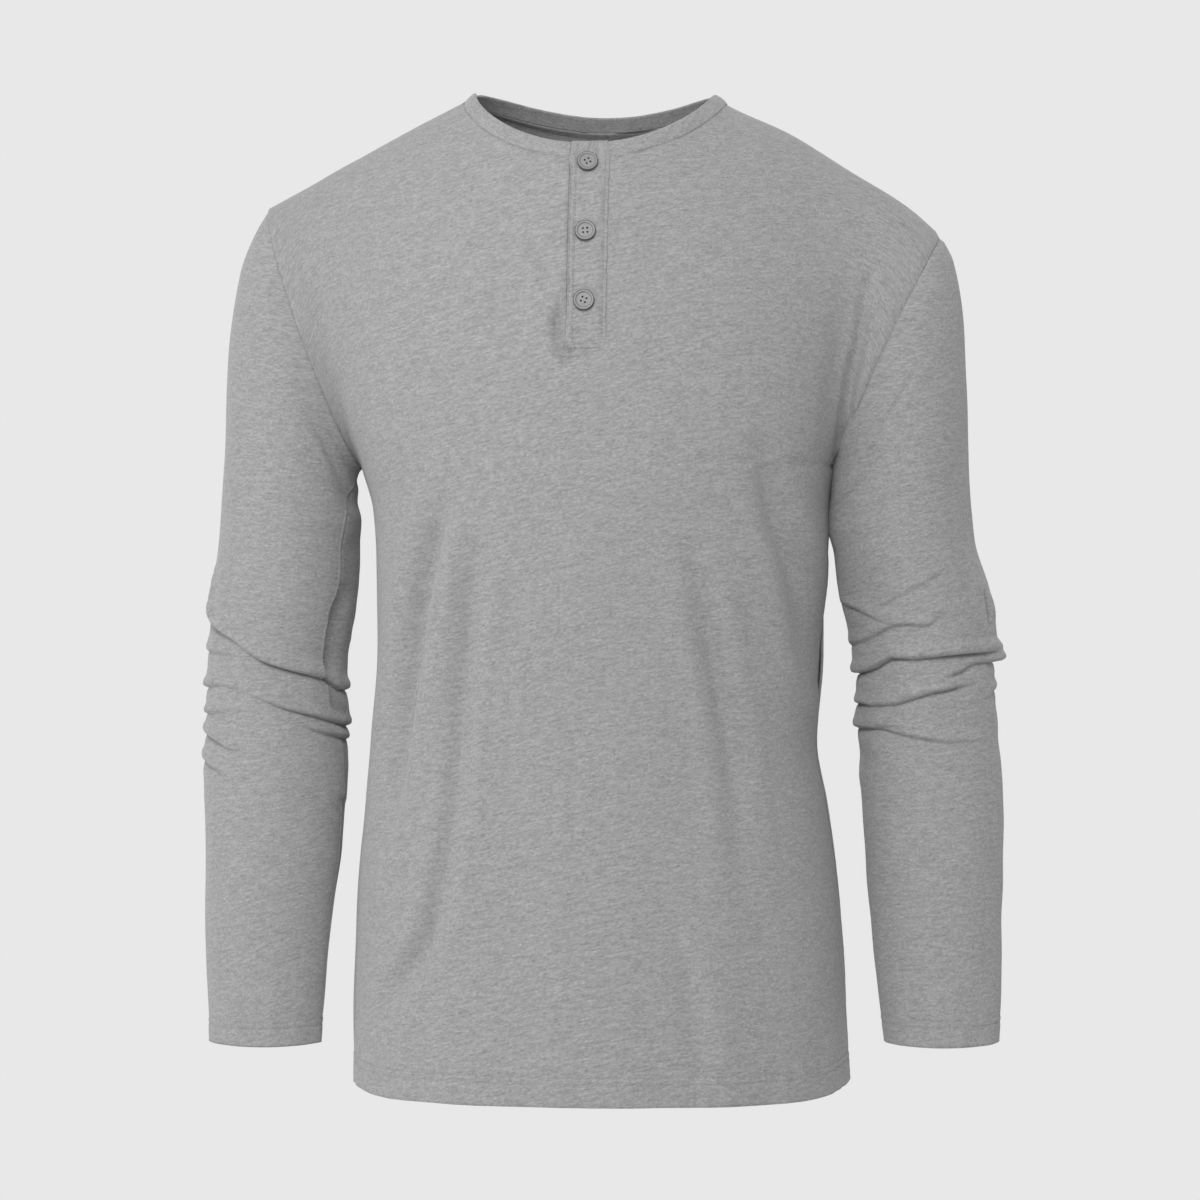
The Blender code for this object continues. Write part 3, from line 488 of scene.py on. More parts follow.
def halve(low, high, below, shape):
    """Where a test that is true below a value stops being true."""
    low, high = np.full(shape, float(low)), np.full(shape, float(high))
    for _ in range(26):
        middle = (low + high) / 2
        under = below(middle)
        low, high = np.where(under, middle, low), np.where(under, high, middle)
    return (low + high) / 2


def neck_ends(face):
    """Where each of a fine row of columns meets the neckline."""
    u = np.linspace(-NECK_SHARE, NECK_SHARE, 1201)

    def below(v):
        point = upper_point(face, u, v)
        return point[..., 2] < neck_height(face, point[..., 0])

    return u, halve(0, 1, below, u.shape)


def end_v(face, u):
    """Where a column meets the neckline, or 1 where it ends at the shoulder seam."""
    if face not in NECK_ENDS:
        NECK_ENDS[face] = neck_ends(face)
    u = np.asarray(u, float)
    return np.where(np.abs(u) >= NECK_SHARE - 1e-9, 1.0, np.interp(u, *NECK_ENDS[face]))


def row_v(face, u, share):
    """How far up a column a row lies, when rows crowd together under the neck."""
    short = 1 - end_v(face, u)
    return share - short * share ** (ROW_CROWDING / np.maximum(short, 0.1))


def u_at(x, share):
    """Which column of the front passes this far from the centre line, at this row."""
    v = row_v("front", np.zeros(np.shape(share)), np.asarray(share, float))
    return halve(-0.5, 0.5, lambda u: upper_point("front", u, v)[..., 0] < x, v.shape)


def share_at(z, x=None):
    """How far up the front this height is, in its middle or this far out."""
    def below(share):
        u = np.zeros(share.shape) if x is None else u_at(x, share)
        return upper_point("front", u, row_v("front", u, share))[..., 2] < z

    return halve(0, 1, below, np.shape(x) if x is not None else ())


def above_hem(t):
    """Height above the hem's level, up to the armpits."""
    return (np.minimum(t, 0) + 1) * RISE


def panel_base(face, u, t):
    """A point of a panel: t from -1 at the hem to 0 at the armpits and 1 at the top."""
    u, t = np.broadcast_arrays(np.asarray(u, float), np.asarray(t, float))
    low = hem_point(face, u, above_hem(t))
    share = np.clip(t, 0, 1)
    high = upper_point(face, u, row_v(face, u, share))
    return np.where((t < 0)[..., None], low, high)


def panel_normal(face, u, t):
    """The way out of a panel at these points."""
    step = 0.002
    u, t = np.broadcast_arrays(np.asarray(u, float), np.asarray(t, float))
    lower = t < 0
    up = above_hem(t)
    v = np.minimum(row_v(face, u, np.clip(t, 0, 1)), 1 - step)
    left, right = np.minimum(u + step, 1), np.maximum(u - step, -1)
    low = np.cross(hem_point(face, left, up) - hem_point(face, right, up),
                   hem_point(face, u, up + step) - hem_point(face, u, up - step))
    high = np.cross(upper_point(face, left, v) - upper_point(face, right, v),
                    upper_point(face, u, v + step) - upper_point(face, u, np.abs(v - step)))
    return unit(np.where(lower[..., None], low, high)) * (1 if face == "front" else -1)


def lengths(points):
    """How far along a path each of its points lies, or each point of many paths."""
    step = np.linalg.norm(np.diff(points, axis=0), axis=-1)
    return np.concatenate((0 * step[:1], np.cumsum(step, axis=0)))


def through(points, count=28):
    """A smooth path through a crease's points, as count points with their strengths."""
    data = np.array(points, float)
    chord = lengths(data[:, :2])
    rows = np.column_stack((chord, data))
    return np.stack(smooth(rows, np.linspace(0, chord[-1], count)), -1)


def near_path(place, path, reach):
    """Which points lie in the box round a path, this much larger on every side."""
    around = np.ptp(path[:, :2], axis=0) / 2 + reach
    return (np.abs(place - path[:, :2].mean(0)) < around).all(1)


def crease_at(place, path):
    """Signed distance from a path, more than 0 above it, and its strength there."""
    start, end = path[:-1, :2], path[1:, :2]
    step = end - start
    offset = place[:, None, :] - start[None]
    t = np.clip((offset * step).sum(-1) / (step * step).sum(-1), 0, 1)
    gap = offset - step * t[..., None]
    distance = np.linalg.norm(gap, axis=-1)
    near = distance.argmin(1)
    rows = np.arange(len(place))
    t, gap, distance = t[rows, near], gap[rows, near], distance[rows, near]
    along = step[near]
    side = np.sign(along[:, 0] * gap[:, 1] - along[:, 1] * gap[:, 0])
    strength = path[near, 2] * (1 - t) + path[near + 1, 2] * t
    ends = ((near == 0) & (t <= 0)) | ((near == len(start) - 1) & (t >= 1))
    return distance * side, np.where(ends, 0.75, 1.0) * strength


def crease_shape(signed, strength, deep, roll, width, hang):
    """How far out, and how far down over the crease, the cloth is moved."""
    if hang < 0:
        out = -deep * bell(signed, width)
        out += roll * bell(np.abs(signed) - 2 * width, width)
        return out * strength, 0 * signed
    trough = np.where(signed > 0, width * 0.16, width * 0.62)
    out = -0.62 * deep * bell(signed, trough)
    out -= 0.55 * deep * bell(signed, width * 0.15)
    out += roll * bell(signed - 0.52 * width, 0.46 * width)
    out -= 0.35 * roll * bell(signed + 1.5 * width, 0.9 * width)
    down = hang * bell(signed - 0.30 * width, 0.34 * width)
    return out * strength, down * strength


def crease_moves(flat, path, deep, roll, width, hang, reach):
    """How far a crease moves each point out, and down over itself."""
    moved = np.zeros((2, len(flat)))
    near = near_path(flat, path, reach * width)
    if near.any():
        signed, strength = crease_at(flat[near], path)
        if path[0, 0] > path[-1, 0]:
            signed = -signed
        moved[:, near] = crease_shape(signed, strength, deep, roll, width, hang)
    return moved


# ---------------------------------------------------------------------------
# Sizes and colours that a user can change
# ---------------------------------------------------------------------------

class HenleySizes(bpy.types.PropertyGroup):
    """Sizes of the cloth, the buttons and the stitches"""

    cloth: bpy.props.FloatProperty(
        name="Cloth", description="Thickness of one layer of jersey",
        default=0.0009, min=0.0003, max=0.003, unit="LENGTH")
    hem: bpy.props.FloatProperty(
        name="Hem", description="Height of the turned-up hem",
        default=0.020, min=0.005, max=0.05, unit="LENGTH")
    cuff: bpy.props.FloatProperty(
        name="Cuff", description="Height of the turned-up cuff",
        default=0.018, min=0.005, max=0.05, unit="LENGTH")
    needles: bpy.props.FloatProperty(
        name="Needles", description="Distance between the rows of a twin-needle stitch",
        default=0.0045, min=0.001, max=0.01, unit="LENGTH")
    stitch: bpy.props.FloatProperty(
        name="Stitch", description="Length from one stitch to the next",
        default=0.0028, min=0.001, max=0.01, unit="LENGTH")
    thread: bpy.props.FloatProperty(
        name="Thread", description="Thickness of the sewing thread",
        default=0.00042, min=0.0001, max=0.001, unit="LENGTH")
    button: bpy.props.FloatProperty(
        name="Button", description="Diameter of a button",
        default=0.0145, min=0.008, max=0.03, unit="LENGTH")
    camera_turn: bpy.props.FloatProperty(
        name="Camera turn", description="How far the camera stands towards the wearer's left",
        default=math.radians(5.0), subtype="ANGLE")
    camera_distance: bpy.props.FloatProperty(
        name="Camera distance", description="Distance from the camera to the shirt",
        default=3.0, min=1.0, unit="LENGTH")


class HenleyColours(bpy.types.PropertyGroup):
    """Colours of the jersey, the thread, the buttons and the stage"""

    jersey: bpy.props.FloatVectorProperty(
        name="Jersey", description="Mean colour of the heather jersey",
        subtype="COLOR", size=3, min=0, max=1, default=(0.285, 0.285, 0.285))
    fleck: bpy.props.FloatProperty(
        name="Fleck", description="How strongly the pale and dark fibres show",
        subtype="FACTOR", default=0.5, min=0, max=1)
    thread: bpy.props.FloatVectorProperty(
        name="Thread", description="Colour of the sewing thread",
        subtype="COLOR", size=3, min=0, max=1, default=(0.235, 0.235, 0.235))
    button: bpy.props.FloatVectorProperty(
        name="Button", description="Colour of the buttons",
        subtype="COLOR", size=3, min=0, max=1, default=(0.230, 0.230, 0.232))
    backdrop: bpy.props.FloatVectorProperty(
        name="Backdrop", description="Colour of the plain backdrop",
        subtype="COLOR", size=3, min=0, max=1, default=(0.806, 0.806, 0.806))


def sizes():
    return bpy.context.scene.henley_sizes


def colours():
    return bpy.context.scene.henley_colours


# ---------------------------------------------------------------------------
# Materials
# ---------------------------------------------------------------------------

class Socket:
    """A shader value that takes part in sums."""

    def __init__(self, maker, link):
        self.maker, self.link = maker, link

    def sum(self, operation, first, second):
        return self.maker.node("ShaderNodeMath", {"operation": operation}, {0: first, 1: second})

    def __add__(self, other):
        return self.sum("ADD", self, other)

    __radd__ = __add__

    def __sub__(self, other):
        return self.sum("SUBTRACT", self, other)

    def __rsub__(self, other):
        return self.sum("SUBTRACT", other, self)

    def __mul__(self, other):
        return self.sum("MULTIPLY", self, other)

    __rmul__ = __mul__


class Finish:
    """A material and the nodes that make its finish."""

    def __init__(self, name, roughness, constants=None):
        self.material = bpy.data.materials.new(name)
        self.material.use_nodes = True
        self.tree = self.material.node_tree
        self.shader = self.tree.nodes["Principled BSDF"]
        self.shader.inputs["Roughness"].default_value = roughness
        for socket, value in (constants or {}).items():
            self.shader.inputs[socket].default_value = value

    def node(self, kind, settings=None, inputs=None, output=0):
        """Adds a node with its settings, then the values or links of its sockets."""
        node = self.tree.nodes.new(kind)
        for key, value in (settings or {}).items():
            setattr(node, key, value)
        for key, value in (inputs or {}).items():
            if isinstance(value, Socket):
                self.tree.links.new(value.link, node.inputs[key])
            else:
                node.inputs[key].default_value = value
        return Socket(self, node.outputs[output])

    def feed(self, socket, value):
        self.tree.links.new(value.link, self.shader.inputs[socket])

    def noise(self, vector, scale, detail=2.0, roughness=0.5):
        return self.node("ShaderNodeTexNoise", {"noise_dimensions": "3D"}, {
            "Vector": vector, "Scale": scale, "Detail": detail, "Roughness": roughness})

    def scaled(self, vector, amounts):
        return self.node("ShaderNodeVectorMath", {"operation": "MULTIPLY"},
                         {0: vector, 1: amounts})

    def mix(self, factor, first, second):
        node = self.tree.nodes.new("ShaderNodeMix")
        node.data_type = "RGBA"
        for key, value in ((0, factor), (6, first), (7, second)):
            if isinstance(value, Socket):
                self.tree.links.new(value.link, node.inputs[key])
            else:
                node.inputs[key].default_value = value
        return Socket(self, node.outputs[2])

    def span(self, value, low, high, to_low=0.0, to_high=1.0):
        return self.node("ShaderNodeMapRange", {"interpolation_type": "SMOOTHSTEP"}, {
            "Value": value, "From Min": low, "From Max": high,
            "To Min": to_low, "To Max": to_high})

    def relief(self, height, distance, strength=1.0):
        self.feed("Normal", self.node("ShaderNodeBump", {}, {
            "Height": height, "Distance": distance, "Strength": strength}))


def shade(colour, by):
    """A colour made darker or paler, with its alpha."""
    return (*(min(max(channel * by, 0), 1) for channel in colour), 1.0)


def jersey():
    """Heather jersey: fine streaks along its courses, pale and dark fibres, a knit face."""
    name = "heather_jersey"
    if name in bpy.data.materials:
        return bpy.data.materials[name]
    finish = Finish(name, 0.92, {
        "Sheen Weight": 0.22, "Sheen Roughness": 0.55, "Specular IOR Level": 0.25})
    fleck = colours().fleck
    cloth = finish.node("ShaderNodeUVMap", {"uv_map": "cloth"})
    yarn = finish.noise(finish.scaled(cloth, (400.0, 760.0, 1.0)), 1.0, 2.0, 0.6)
    slub = finish.noise(finish.scaled(cloth, (130.0, 420.0, 1.0)), 1.0, 3.0, 0.65)
    cloud = finish.noise(finish.scaled(cloth, (40.0, 110.0, 1.0)), 1.0, 2.0, 0.5)
    fibre = finish.noise(finish.scaled(cloth, (520.0, 760.0, 1.0)), 1.0, 1.0, 0.5)
    tone_map = (yarn - 0.5) * 1.15 + (slub - 0.5) * 1.10 + (cloud - 0.5) * 0.30
    dark = shade(colours().jersey, 1 - 0.64 * fleck)
    pale = shade(colours().jersey, 1 + 0.64 * fleck)
    colour = finish.mix(finish.span(tone_map, -0.58, 0.58), dark, pale)
    white = finish.span(fibre, 0.66, 0.74) * (0.9 * fleck)
    colour = finish.mix(white, colour, shade(colours().jersey, 1.75))
    black = finish.span(1 - fibre, 0.66, 0.74) * (0.7 * fleck)
    colour = finish.mix(black, colour, shade(colours().jersey, 0.50))
    finish.feed("Base Color", colour)
    finish.feed("Roughness", 0.86 + slub * 0.16)
    wale = finish.node("ShaderNodeTexWave", {"wave_type": "BANDS", "bands_direction": "X"}, {
        "Vector": cloth, "Scale": 300.0, "Distortion": 1.2, "Detail": 1.0})
    course = finish.node("ShaderNodeTexWave", {"wave_type": "BANDS", "bands_direction": "Y"}, {
        "Vector": cloth, "Scale": 390.0, "Distortion": 1.2, "Detail": 1.0})
    height = wale * 0.35 + course * 0.25 + yarn * 0.9 + slub * 0.8
    finish.relief(height, 0.00022, 0.9)
    return finish.material


def thread(name="sewing_thread", tone=1.0):
    """Spun sewing thread, close to the cloth's own colour, made darker by a tone below 1."""
    if name in bpy.data.materials:
        return bpy.data.materials[name]
    finish = Finish(name, 0.6, {"Sheen Weight": 0.2})
    place = finish.node("ShaderNodeTexCoord", {}, {}, 3)
    twist = finish.noise(place, 2600.0, 1.0)
    patch = finish.noise(place, 60.0, 2.0)
    colour = finish.mix(twist * 0.5 + patch * 0.5, shade(colours().thread, tone * 0.80),
                        shade(colours().thread, tone * 1.20))
    finish.feed("Base Color", colour)
    finish.feed("Roughness", 0.5 + twist * 0.3)
    finish.relief(twist, 0.00008)
    return finish.material


def plastic():
    """Moulded button plastic with a faint swirl and fine wear, and painted shade on the faces
    that the edge attribute marks.
    """
    name = "button_plastic_swirl"
    if name in bpy.data.materials:
        return bpy.data.materials[name]
    finish = Finish(name, 0.45, {"Coat Roughness": 0.4})
    place = finish.node("ShaderNodeTexCoord", {}, {}, 3)
    swirl = finish.node("ShaderNodeTexNoise", {}, {
        "Vector": place, "Scale": 190.0, "Detail": 3.0, "Distortion": 1.6})
    speck = finish.noise(place, 2200.0, 2.0)
    colour = finish.mix(finish.span(swirl, 0.32, 0.68), shade(colours().button, 0.95),
                        shade(colours().button, 1.06))
    # Painted shade: faces marked by the edge attribute (rim, hole walls, steps) are mixed towards
    # a much darker button colour for the shadow that falls there.
    edge = finish.node("ShaderNodeAttribute", {"attribute_name": "edge"}, {}, 2)
    colour = finish.mix(edge, colour, shade(colours().button, 0.28))
    finish.feed("Base Color", colour)
    finish.feed("Roughness", 0.42 + speck * 0.18 + swirl * 0.06)
    finish.feed("Coat Weight", finish.span(speck, 0.2, 0.8, 0.04, 0.10))
    finish.relief(speck * 0.6 + swirl * 0.4, 0.00005, 0.6)
    return finish.material


# ---------------------------------------------------------------------------
# Meshes
# ---------------------------------------------------------------------------

def cells(j, i, count):
    """The corners of a grid's cells, whose rows of this many points close on themselves."""
    k = (i + 1) % count
    return np.stack((j * count + i, j * count + k, (j + 1) * count + k, (j + 1) * count + i), 1)


def shell(name, outer, inner, uv, closed=False, left_out=None):
    """One closed wall between two grids, with a rounded rim at every open edge."""
    rows, count = outer.shape[:2]
    columns = count if closed else count - 1
    j, i = np.meshgrid(np.arange(rows - 1), np.arange(columns), indexing="ij")
    keep = np.ones(j.shape, bool) if left_out is None else ~left_out
    corners = cells(j[keep], i[keep], count)
    size = rows * count
    edges = np.concatenate([corners[:, (a, (a + 1) % 4)] for a in range(4)])
    key = edges[:, 0] * size + edges[:, 1]
    border = edges[~np.isin(key, edges[:, 1] * size + edges[:, 0])]
    flat_out, flat_in = outer.reshape(-1, 3), inner.reshape(-1, 3)
    # The rim's middle stands out by half of the wall, away from the cloth beside it.
    used = np.unique(border)
    away = np.zeros((size, 3))
    middle = (flat_out + flat_in) / 2
    across = flat_out - flat_in
    along = middle[border[:, 1]] - middle[border[:, 0]]
    push = np.cross(along, across[border[:, 0]] + across[border[:, 1]])
    np.add.at(away, border[:, 0], unit(push))
    np.add.at(away, border[:, 1], unit(push))
    wall = np.linalg.norm(across[used], axis=1, keepdims=True)
    tips = middle[used] + unit(away[used]) * wall * 0.5
    place = np.full(size, -1)
    place[used] = np.arange(len(used)) + 2 * size
    verts = np.concatenate((flat_out, flat_in, tips))
    a, b = border[:, 0], border[:, 1]
    faces = np.concatenate((
        corners, corners[:, ::-1] + size,
        np.stack((b, a, place[a], place[b]), 1),
        np.stack((place[b], place[a], a + size, b + size), 1)))
    flat_uv = np.concatenate((uv.reshape(-1, 2), uv.reshape(-1, 2), uv.reshape(-1, 2)[used]))
    return build(name, verts, faces, flat_uv, SLEEVE_RADIUS * math.tau if closed else 100.0)


def build(name, verts, faces, uv=None, period=100.0):
    """A mesh object from arrays, without the points that no face uses."""
    used = np.unique(faces)
    place = np.full(len(verts), -1)
    place[used] = np.arange(len(used))
    mesh = bpy.data.meshes.new(name)
    mesh.from_pydata(verts[used].tolist(), [], place[faces].tolist())
    if uv is not None:
        layer = mesh.uv_layers.new(name="cloth")
        corners = uv[faces]
        wide = np.ptp(corners[..., 0], axis=1) > period / 2
        behind = corners[..., 0] < corners[..., 0].mean(1, keepdims=True)
        corners[..., 0] += period * (wide[:, None] & behind)
        layer.data.foreach_set("uv", corners.ravel().astype(np.float32))
    mesh.update()
    piece = bpy.data.objects.new(name, mesh)
    bpy.context.scene.collection.objects.link(piece)
    work = bmesh.new()
    work.from_mesh(mesh)
    if work.calc_volume(signed=True) < 0:
        bmesh.ops.reverse_faces(work, faces=work.faces)
    work.to_mesh(mesh)
    work.free()
    mesh.shade_smooth()
    return piece


def finished(piece, material, *nodes, slot="jersey"):
    """Gives a piece its material and its place in the frame."""
    piece.data.materials.clear()
    piece.data.materials.append(material)
    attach(piece, "root")
    if nodes:
        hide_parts(*nodes)
    return piece


# ---------------------------------------------------------------------------
# Body panels
# ---------------------------------------------------------------------------

def lumps(place, seed, height):
    """Low, uneven swells that keep cloth from looking stamped."""
    rng = np.random.default_rng(seed)
    result = np.zeros(place.shape[:-1])
    for _ in range(14):
        turn = rng.uniform(0, math.tau)
        pitch = rng.uniform(18, 75)
        wave = np.array((math.cos(turn), math.sin(turn))) * pitch
        result += np.sin(place @ wave + rng.uniform(0, math.tau)) * height / 14**0.5
    return result


def twin_rows(top):
    """Heights of the two rows of a twin-needle stitch, under the top of a hem."""
    return top - ROW_INSET, top - ROW_INSET - sizes().needles


def touching(point):
    """The heights, below the armpit, at which the left sleeve touches the body."""
    z = point[..., 2]
    return ramp(z, -0.328, -0.308) * ramp(z, -0.256, -0.268)


def panel_uv(face, point, u, t, length):
    """Metres across and up the cloth, leaning as the knit's courses do."""
    uv = stack(u * HALF_GIRTH, length)
    if point.ndim == 3 and point.shape[0] > 2:
        climb = lengths(point)
        uv[..., 1] = climb - climb[np.abs(t[:, 0]).argmin()]
    # The courses climb a little towards the left arm, most of all on the right side.
    x = point[..., 0]
    tilt = 0.21 if face == "front" else -0.12
    uv[..., 1] -= tilt * 0.11 * np.tanh(x / 0.11) - 0.75 * np.minimum(x, 0) ** 2
    return uv


def press_seams(out, face, point, u, t, length):
    """Pulls a panel's cloth in beside its seams, and out where a sleeve presses on it."""
    edge = (1 - np.abs(u)) * HALF_GIRTH
    left_arm = (t > 0) & (u > 0)
    out -= np.where(t < 0, 0.0008, np.where(left_arm, 0.0018, 0.0)) * bell(edge, 0.0014)
    out += 0.0020 * (touching(point) * (u > 0)) * bell(edge, 0.03)
    proud = (t > 0) & (u < 0) & (face == "front")
    out += 0.0005 * proud * ramp(t, 0.75, 0.35) * bell(edge, 0.0026)
    out += 0.00012 * (np.sin(length * 900 + 2 * np.sin(length * 170)) * bell(edge, 0.006))
    above = 1 - np.maximum(t, 0)
    shoulder = np.where((t > 0) & (np.abs(u) >= NECK_SHARE), above * SHOULDER_RISE, 1.0)
    out -= 0.0008 * bell(shoulder, 0.0022)
    neck = np.where((t > 0) & (np.abs(u) < NECK_SHARE), above * UPPER_RISE, 1.0)
    out -= 0.0003 * bell(neck, 0.0016)
    if face == "front":
        gap = point[..., 0] - SLOT_RIGHT
        edge_roll = bell(gap + 0.0013, 0.0013)
        out += 0.0007 * edge_roll * ramp(point[..., 2], SLOT_BOTTOM_Z, SLOT_BOTTOM_Z + 0.02)


def turn_up(out, up, top, wave, reach, where=1):
    """Shapes a turned-up hem: proud cloth, channels under its stitches and a wavy edge."""
    for row in twin_rows(top):
        out -= CHANNEL_DEPTH * bell(up - row, CHANNEL_WIDTH) * where
    out += 0.0005 * ramp(up, top + 0.002, top - 0.002) * where
    out += wave * bell(up, reach) * where


def panel_shape(face, u, t):
    """Outer points, way out and UV of a panel, with its creases, seams and stitched hem."""
    point = panel_base(face, u, t)
    normal = panel_normal(face, u, t)
    u, t = np.broadcast_arrays(u, t)
    up = above_hem(t)
    length = np.where(t < 0, up, RISE + np.maximum(t, 0) * 0.30)
    out = np.zeros(point.shape[:-1])
    flat = point[..., (0, 2)].reshape(-1, 2)
    for *crease, points in PANEL_CREASES[face]:
        out += crease_moves(flat, through(points), *crease, 4)[0].reshape(out.shape)
    out += lumps(point[..., (0, 2)], 5 if face == "front" else 9, 0.00055)
    press_seams(out, face, point, u, t, length)
    wave = np.sin(u * 64 + 1.7 * np.sin(u * 23)) * 0.00035 + np.sin(u * 21) * 0.0004
    turn_up(out, up, sizes().hem, wave, 0.03, t < 0)
    uv = panel_uv(face, point, u, t, length)
    return point + normal * out[..., None], normal, uv


def panel_rows():
    """Rows of a panel, closer in its hem and with one at the slit's end."""
    hem = sizes().hem
    low = np.concatenate((
        np.linspace(0, hem - 0.001, 14), np.linspace(hem, hem + 0.003, 4)[:-1],
        np.linspace(hem + 0.003, RISE, 108)[:-1])) / RISE - 1
    slit = float(share_at(SLOT_BOTTOM_Z))
    high = np.concatenate((np.linspace(0, slit, 34), np.linspace(slit, 1, 56)[1:]))
    return np.concatenate((low, high)), len(low) + 33


def panel_columns(face, t):
    """The columns of each row, closer at the seams and at the slit's edges."""
    share = np.clip(t, 0, 1)
    if face == "front":
        right, left = u_at(SLOT_RIGHT, share), u_at(SLOT_LEFT, share)
    else:
        right, left = np.full(t.shape, -0.05), np.full(t.shape, 0.05)
    side = np.sin(np.linspace(0, 1, 58) * math.pi / 2) * 0.4 + np.linspace(0, 1, 58) * 0.6
    side = -1 + side * (1 - NECK_SHARE)
    turn = np.sin(np.linspace(0, math.pi / 2, 48))[::-1][1:] * 0.4
    turn += np.linspace(1, 0, 48)[1:] * 0.6
    near = right[:, None] + (-NECK_SHARE - right)[:, None] * turn[None]
    slit = right[:, None] + (left - right)[:, None] * np.linspace(0, 1, 9)[None, 1:]
    far = left[:, None] + (NECK_SHARE - left)[:, None] * turn[::-1][None]
    far = np.concatenate((far[:, 1:], np.full((len(t), 1), NECK_SHARE)), 1)
    sides = np.broadcast_to(side, (len(t), len(side)))
    grid = np.concatenate((sides, near, slit, far, -sides[:, ::-1][:, 1:]), 1)
    return grid, len(side) + near.shape[1] - 1


def armhole_radial(side, point):
    """The way out from the armhole's middle, which both sides of its seam share."""
    _, out_x, out_z, in_x, in_z, _, _ = SLEEVE[side][0]
    middle = np.array((side * (out_x + in_x) / 2, 0, (out_z + in_z) / 2))
    across = np.array((side * (out_x - in_x), 0, out_z - in_z))
    axis = unit(np.cross(across, (0, 1, 0)))
    away = point - middle
    return unit(away - (away @ axis)[..., None] * axis)


def make_panel(face):
    """A body panel: a wall of jersey with a turned-up hem and, in front, a slit."""
    t, slit_row = panel_rows()
    u, slit_column = panel_columns(face, t)
    tall = np.broadcast_to(t[:, None], u.shape)
    outer, normal, uv = panel_shape(face, u, tall)
    facing = -1 if face == "front" else 1
    for row, side in ((0, -1), (-1, 1)):
        round_arm = armhole_radial(side, outer[:, row])
        normal[:, row] = np.where((t < 0)[:, None], np.array((side, 0, 0)), round_arm)
    top = (np.abs(outer[-1, :, 1]) < 0.004) & (np.abs(u[-1]) >= NECK_SHARE)
    normal[-1, top] = unit(stack(np.sign(u[-1, top]) * 0.5, 0.0, 1.0))
    # Both panels end just short of the plane of the side and shoulder seams.
    seam = np.zeros(outer.shape[:2], bool)
    seam[t < 0, 0] = seam[t < 0, -1] = seam[-1, top] = True
    outer[seam, 1] = facing * GAP * 0.6
    normal[seam, 1] = 0
    normal = unit(normal)
    up = above_hem(tall)
    hem = ramp(up, sizes().hem + 0.0025, sizes().hem)
    wall = sizes().cloth * (1 + hem * (tall < 0))
    below = np.where((tall > 0) & (np.abs(u) < NECK_SHARE - 0.01), (1 - tall) * UPPER_RISE, 1.0)
    wall += 0.0012 * ramp(below, 0.0085, 0.0065)
    inner = outer - normal * wall[..., None]
    left_out = None
    if face == "front":
        left_out = np.zeros((len(t) - 1, u.shape[1] - 1), bool)
        left_out[slit_row:, slit_column:slit_column + 8] = True
    return shell(f"jersey_{face}", outer, inner, uv, left_out=left_out)


# ---------------------------------------------------------------------------
# Sleeves
# ---------------------------------------------------------------------------

def sleeve_base(side, along, angle):
    """A point of a sleeve without its creases: metres along, radians round."""
    cuff = SLEEVE[side][-1][0]
    along, angle = np.broadcast_arrays(np.asarray(along, float), np.asarray(angle, float))
    ring = smooth(SLEEVE[side], along)
    bow = ARMHOLE_BOW[side] * (1 - ramp(along, 0, 0.08))
    point = ring_point(side, ring, angle, bow)
    point[..., 2] -= CUFF_DROP * ramp(along, cuff - 0.1, cuff) * np.sin(angle) ** 2
    return point


def crease_sleeve(out, slip, side, along, angle):
    """Adds a sleeve's creases to how far its cloth is moved out and down."""
    for *crease, points in SLEEVE_CREASES[side]:
        path = through([(math.radians(a) * SLEEVE_RADIUS, -b, s) for a, b, s in points])
        middle = (path[:, 0].min() + path[:, 0].max()) / 2
        turn = (angle - middle / SLEEVE_RADIUS + math.pi) % math.tau - math.pi
        flat = np.stack((turn * SLEEVE_RADIUS + middle, -along), -1).reshape(-1, 2)
        moved = crease_moves(flat, path, *crease, 5)
        out += moved[0].reshape(out.shape)
        slip += moved[1].reshape(out.shape)


def rumple(out, side, along, angle):
    """Uneven swells all over a sleeve, more and finer at the elbow."""
    elbow = bell(along - 0.34, 0.10)
    place = np.stack((np.cos(angle) * 0.07, along), -1)
    turned = np.stack((np.sin(angle) * 0.07, along), -1)
    out += lumps(place, 21 + side, 0.0005) * (0.6 + elbow)
    out += lumps(turned * 2.2, 31 + side, 0.0004) * (0.5 + 0.9 * elbow)
    fine = np.stack((np.cos(angle) * 0.12, along * 5.0 + 0.09 * np.sin(angle + 0.7)), -1)
    out += lumps(fine, 51 + side, 0.00038) * bell(along - 0.335, 0.055)


def sew_underarm(out, side, along, angle):
    """The seam under the arm: cloth is pulled in, with a fine roll on its front side."""
    seam = np.radians(smooth(RIGHT_SEAM if side < 0 else LEFT_SEAM, along)[0])
    gap = ((angle - seam + math.pi) % math.tau - math.pi) * SLEEVE_RADIUS
    out += 0.0006 * bell(gap, 0.0011)
    out -= 0.0005 * bell(gap - 0.0022, 0.0012)
    if side < 0:
        hollow = np.where(gap < 0.003, 0.0016, 0.014)
        reach = ramp(along, 0.262, 0.285) * ramp(along, 0.350, 0.339)
        reach += 0.35 * ramp(along, 0.346, 0.353) * ramp(along, 0.376, 0.364)
        out -= 0.0052 * bell(gap - 0.003, hollow) * reach
        out -= 0.0022 * bell(gap - 0.014, 0.012) * ramp(along, 0.16, 0.22)


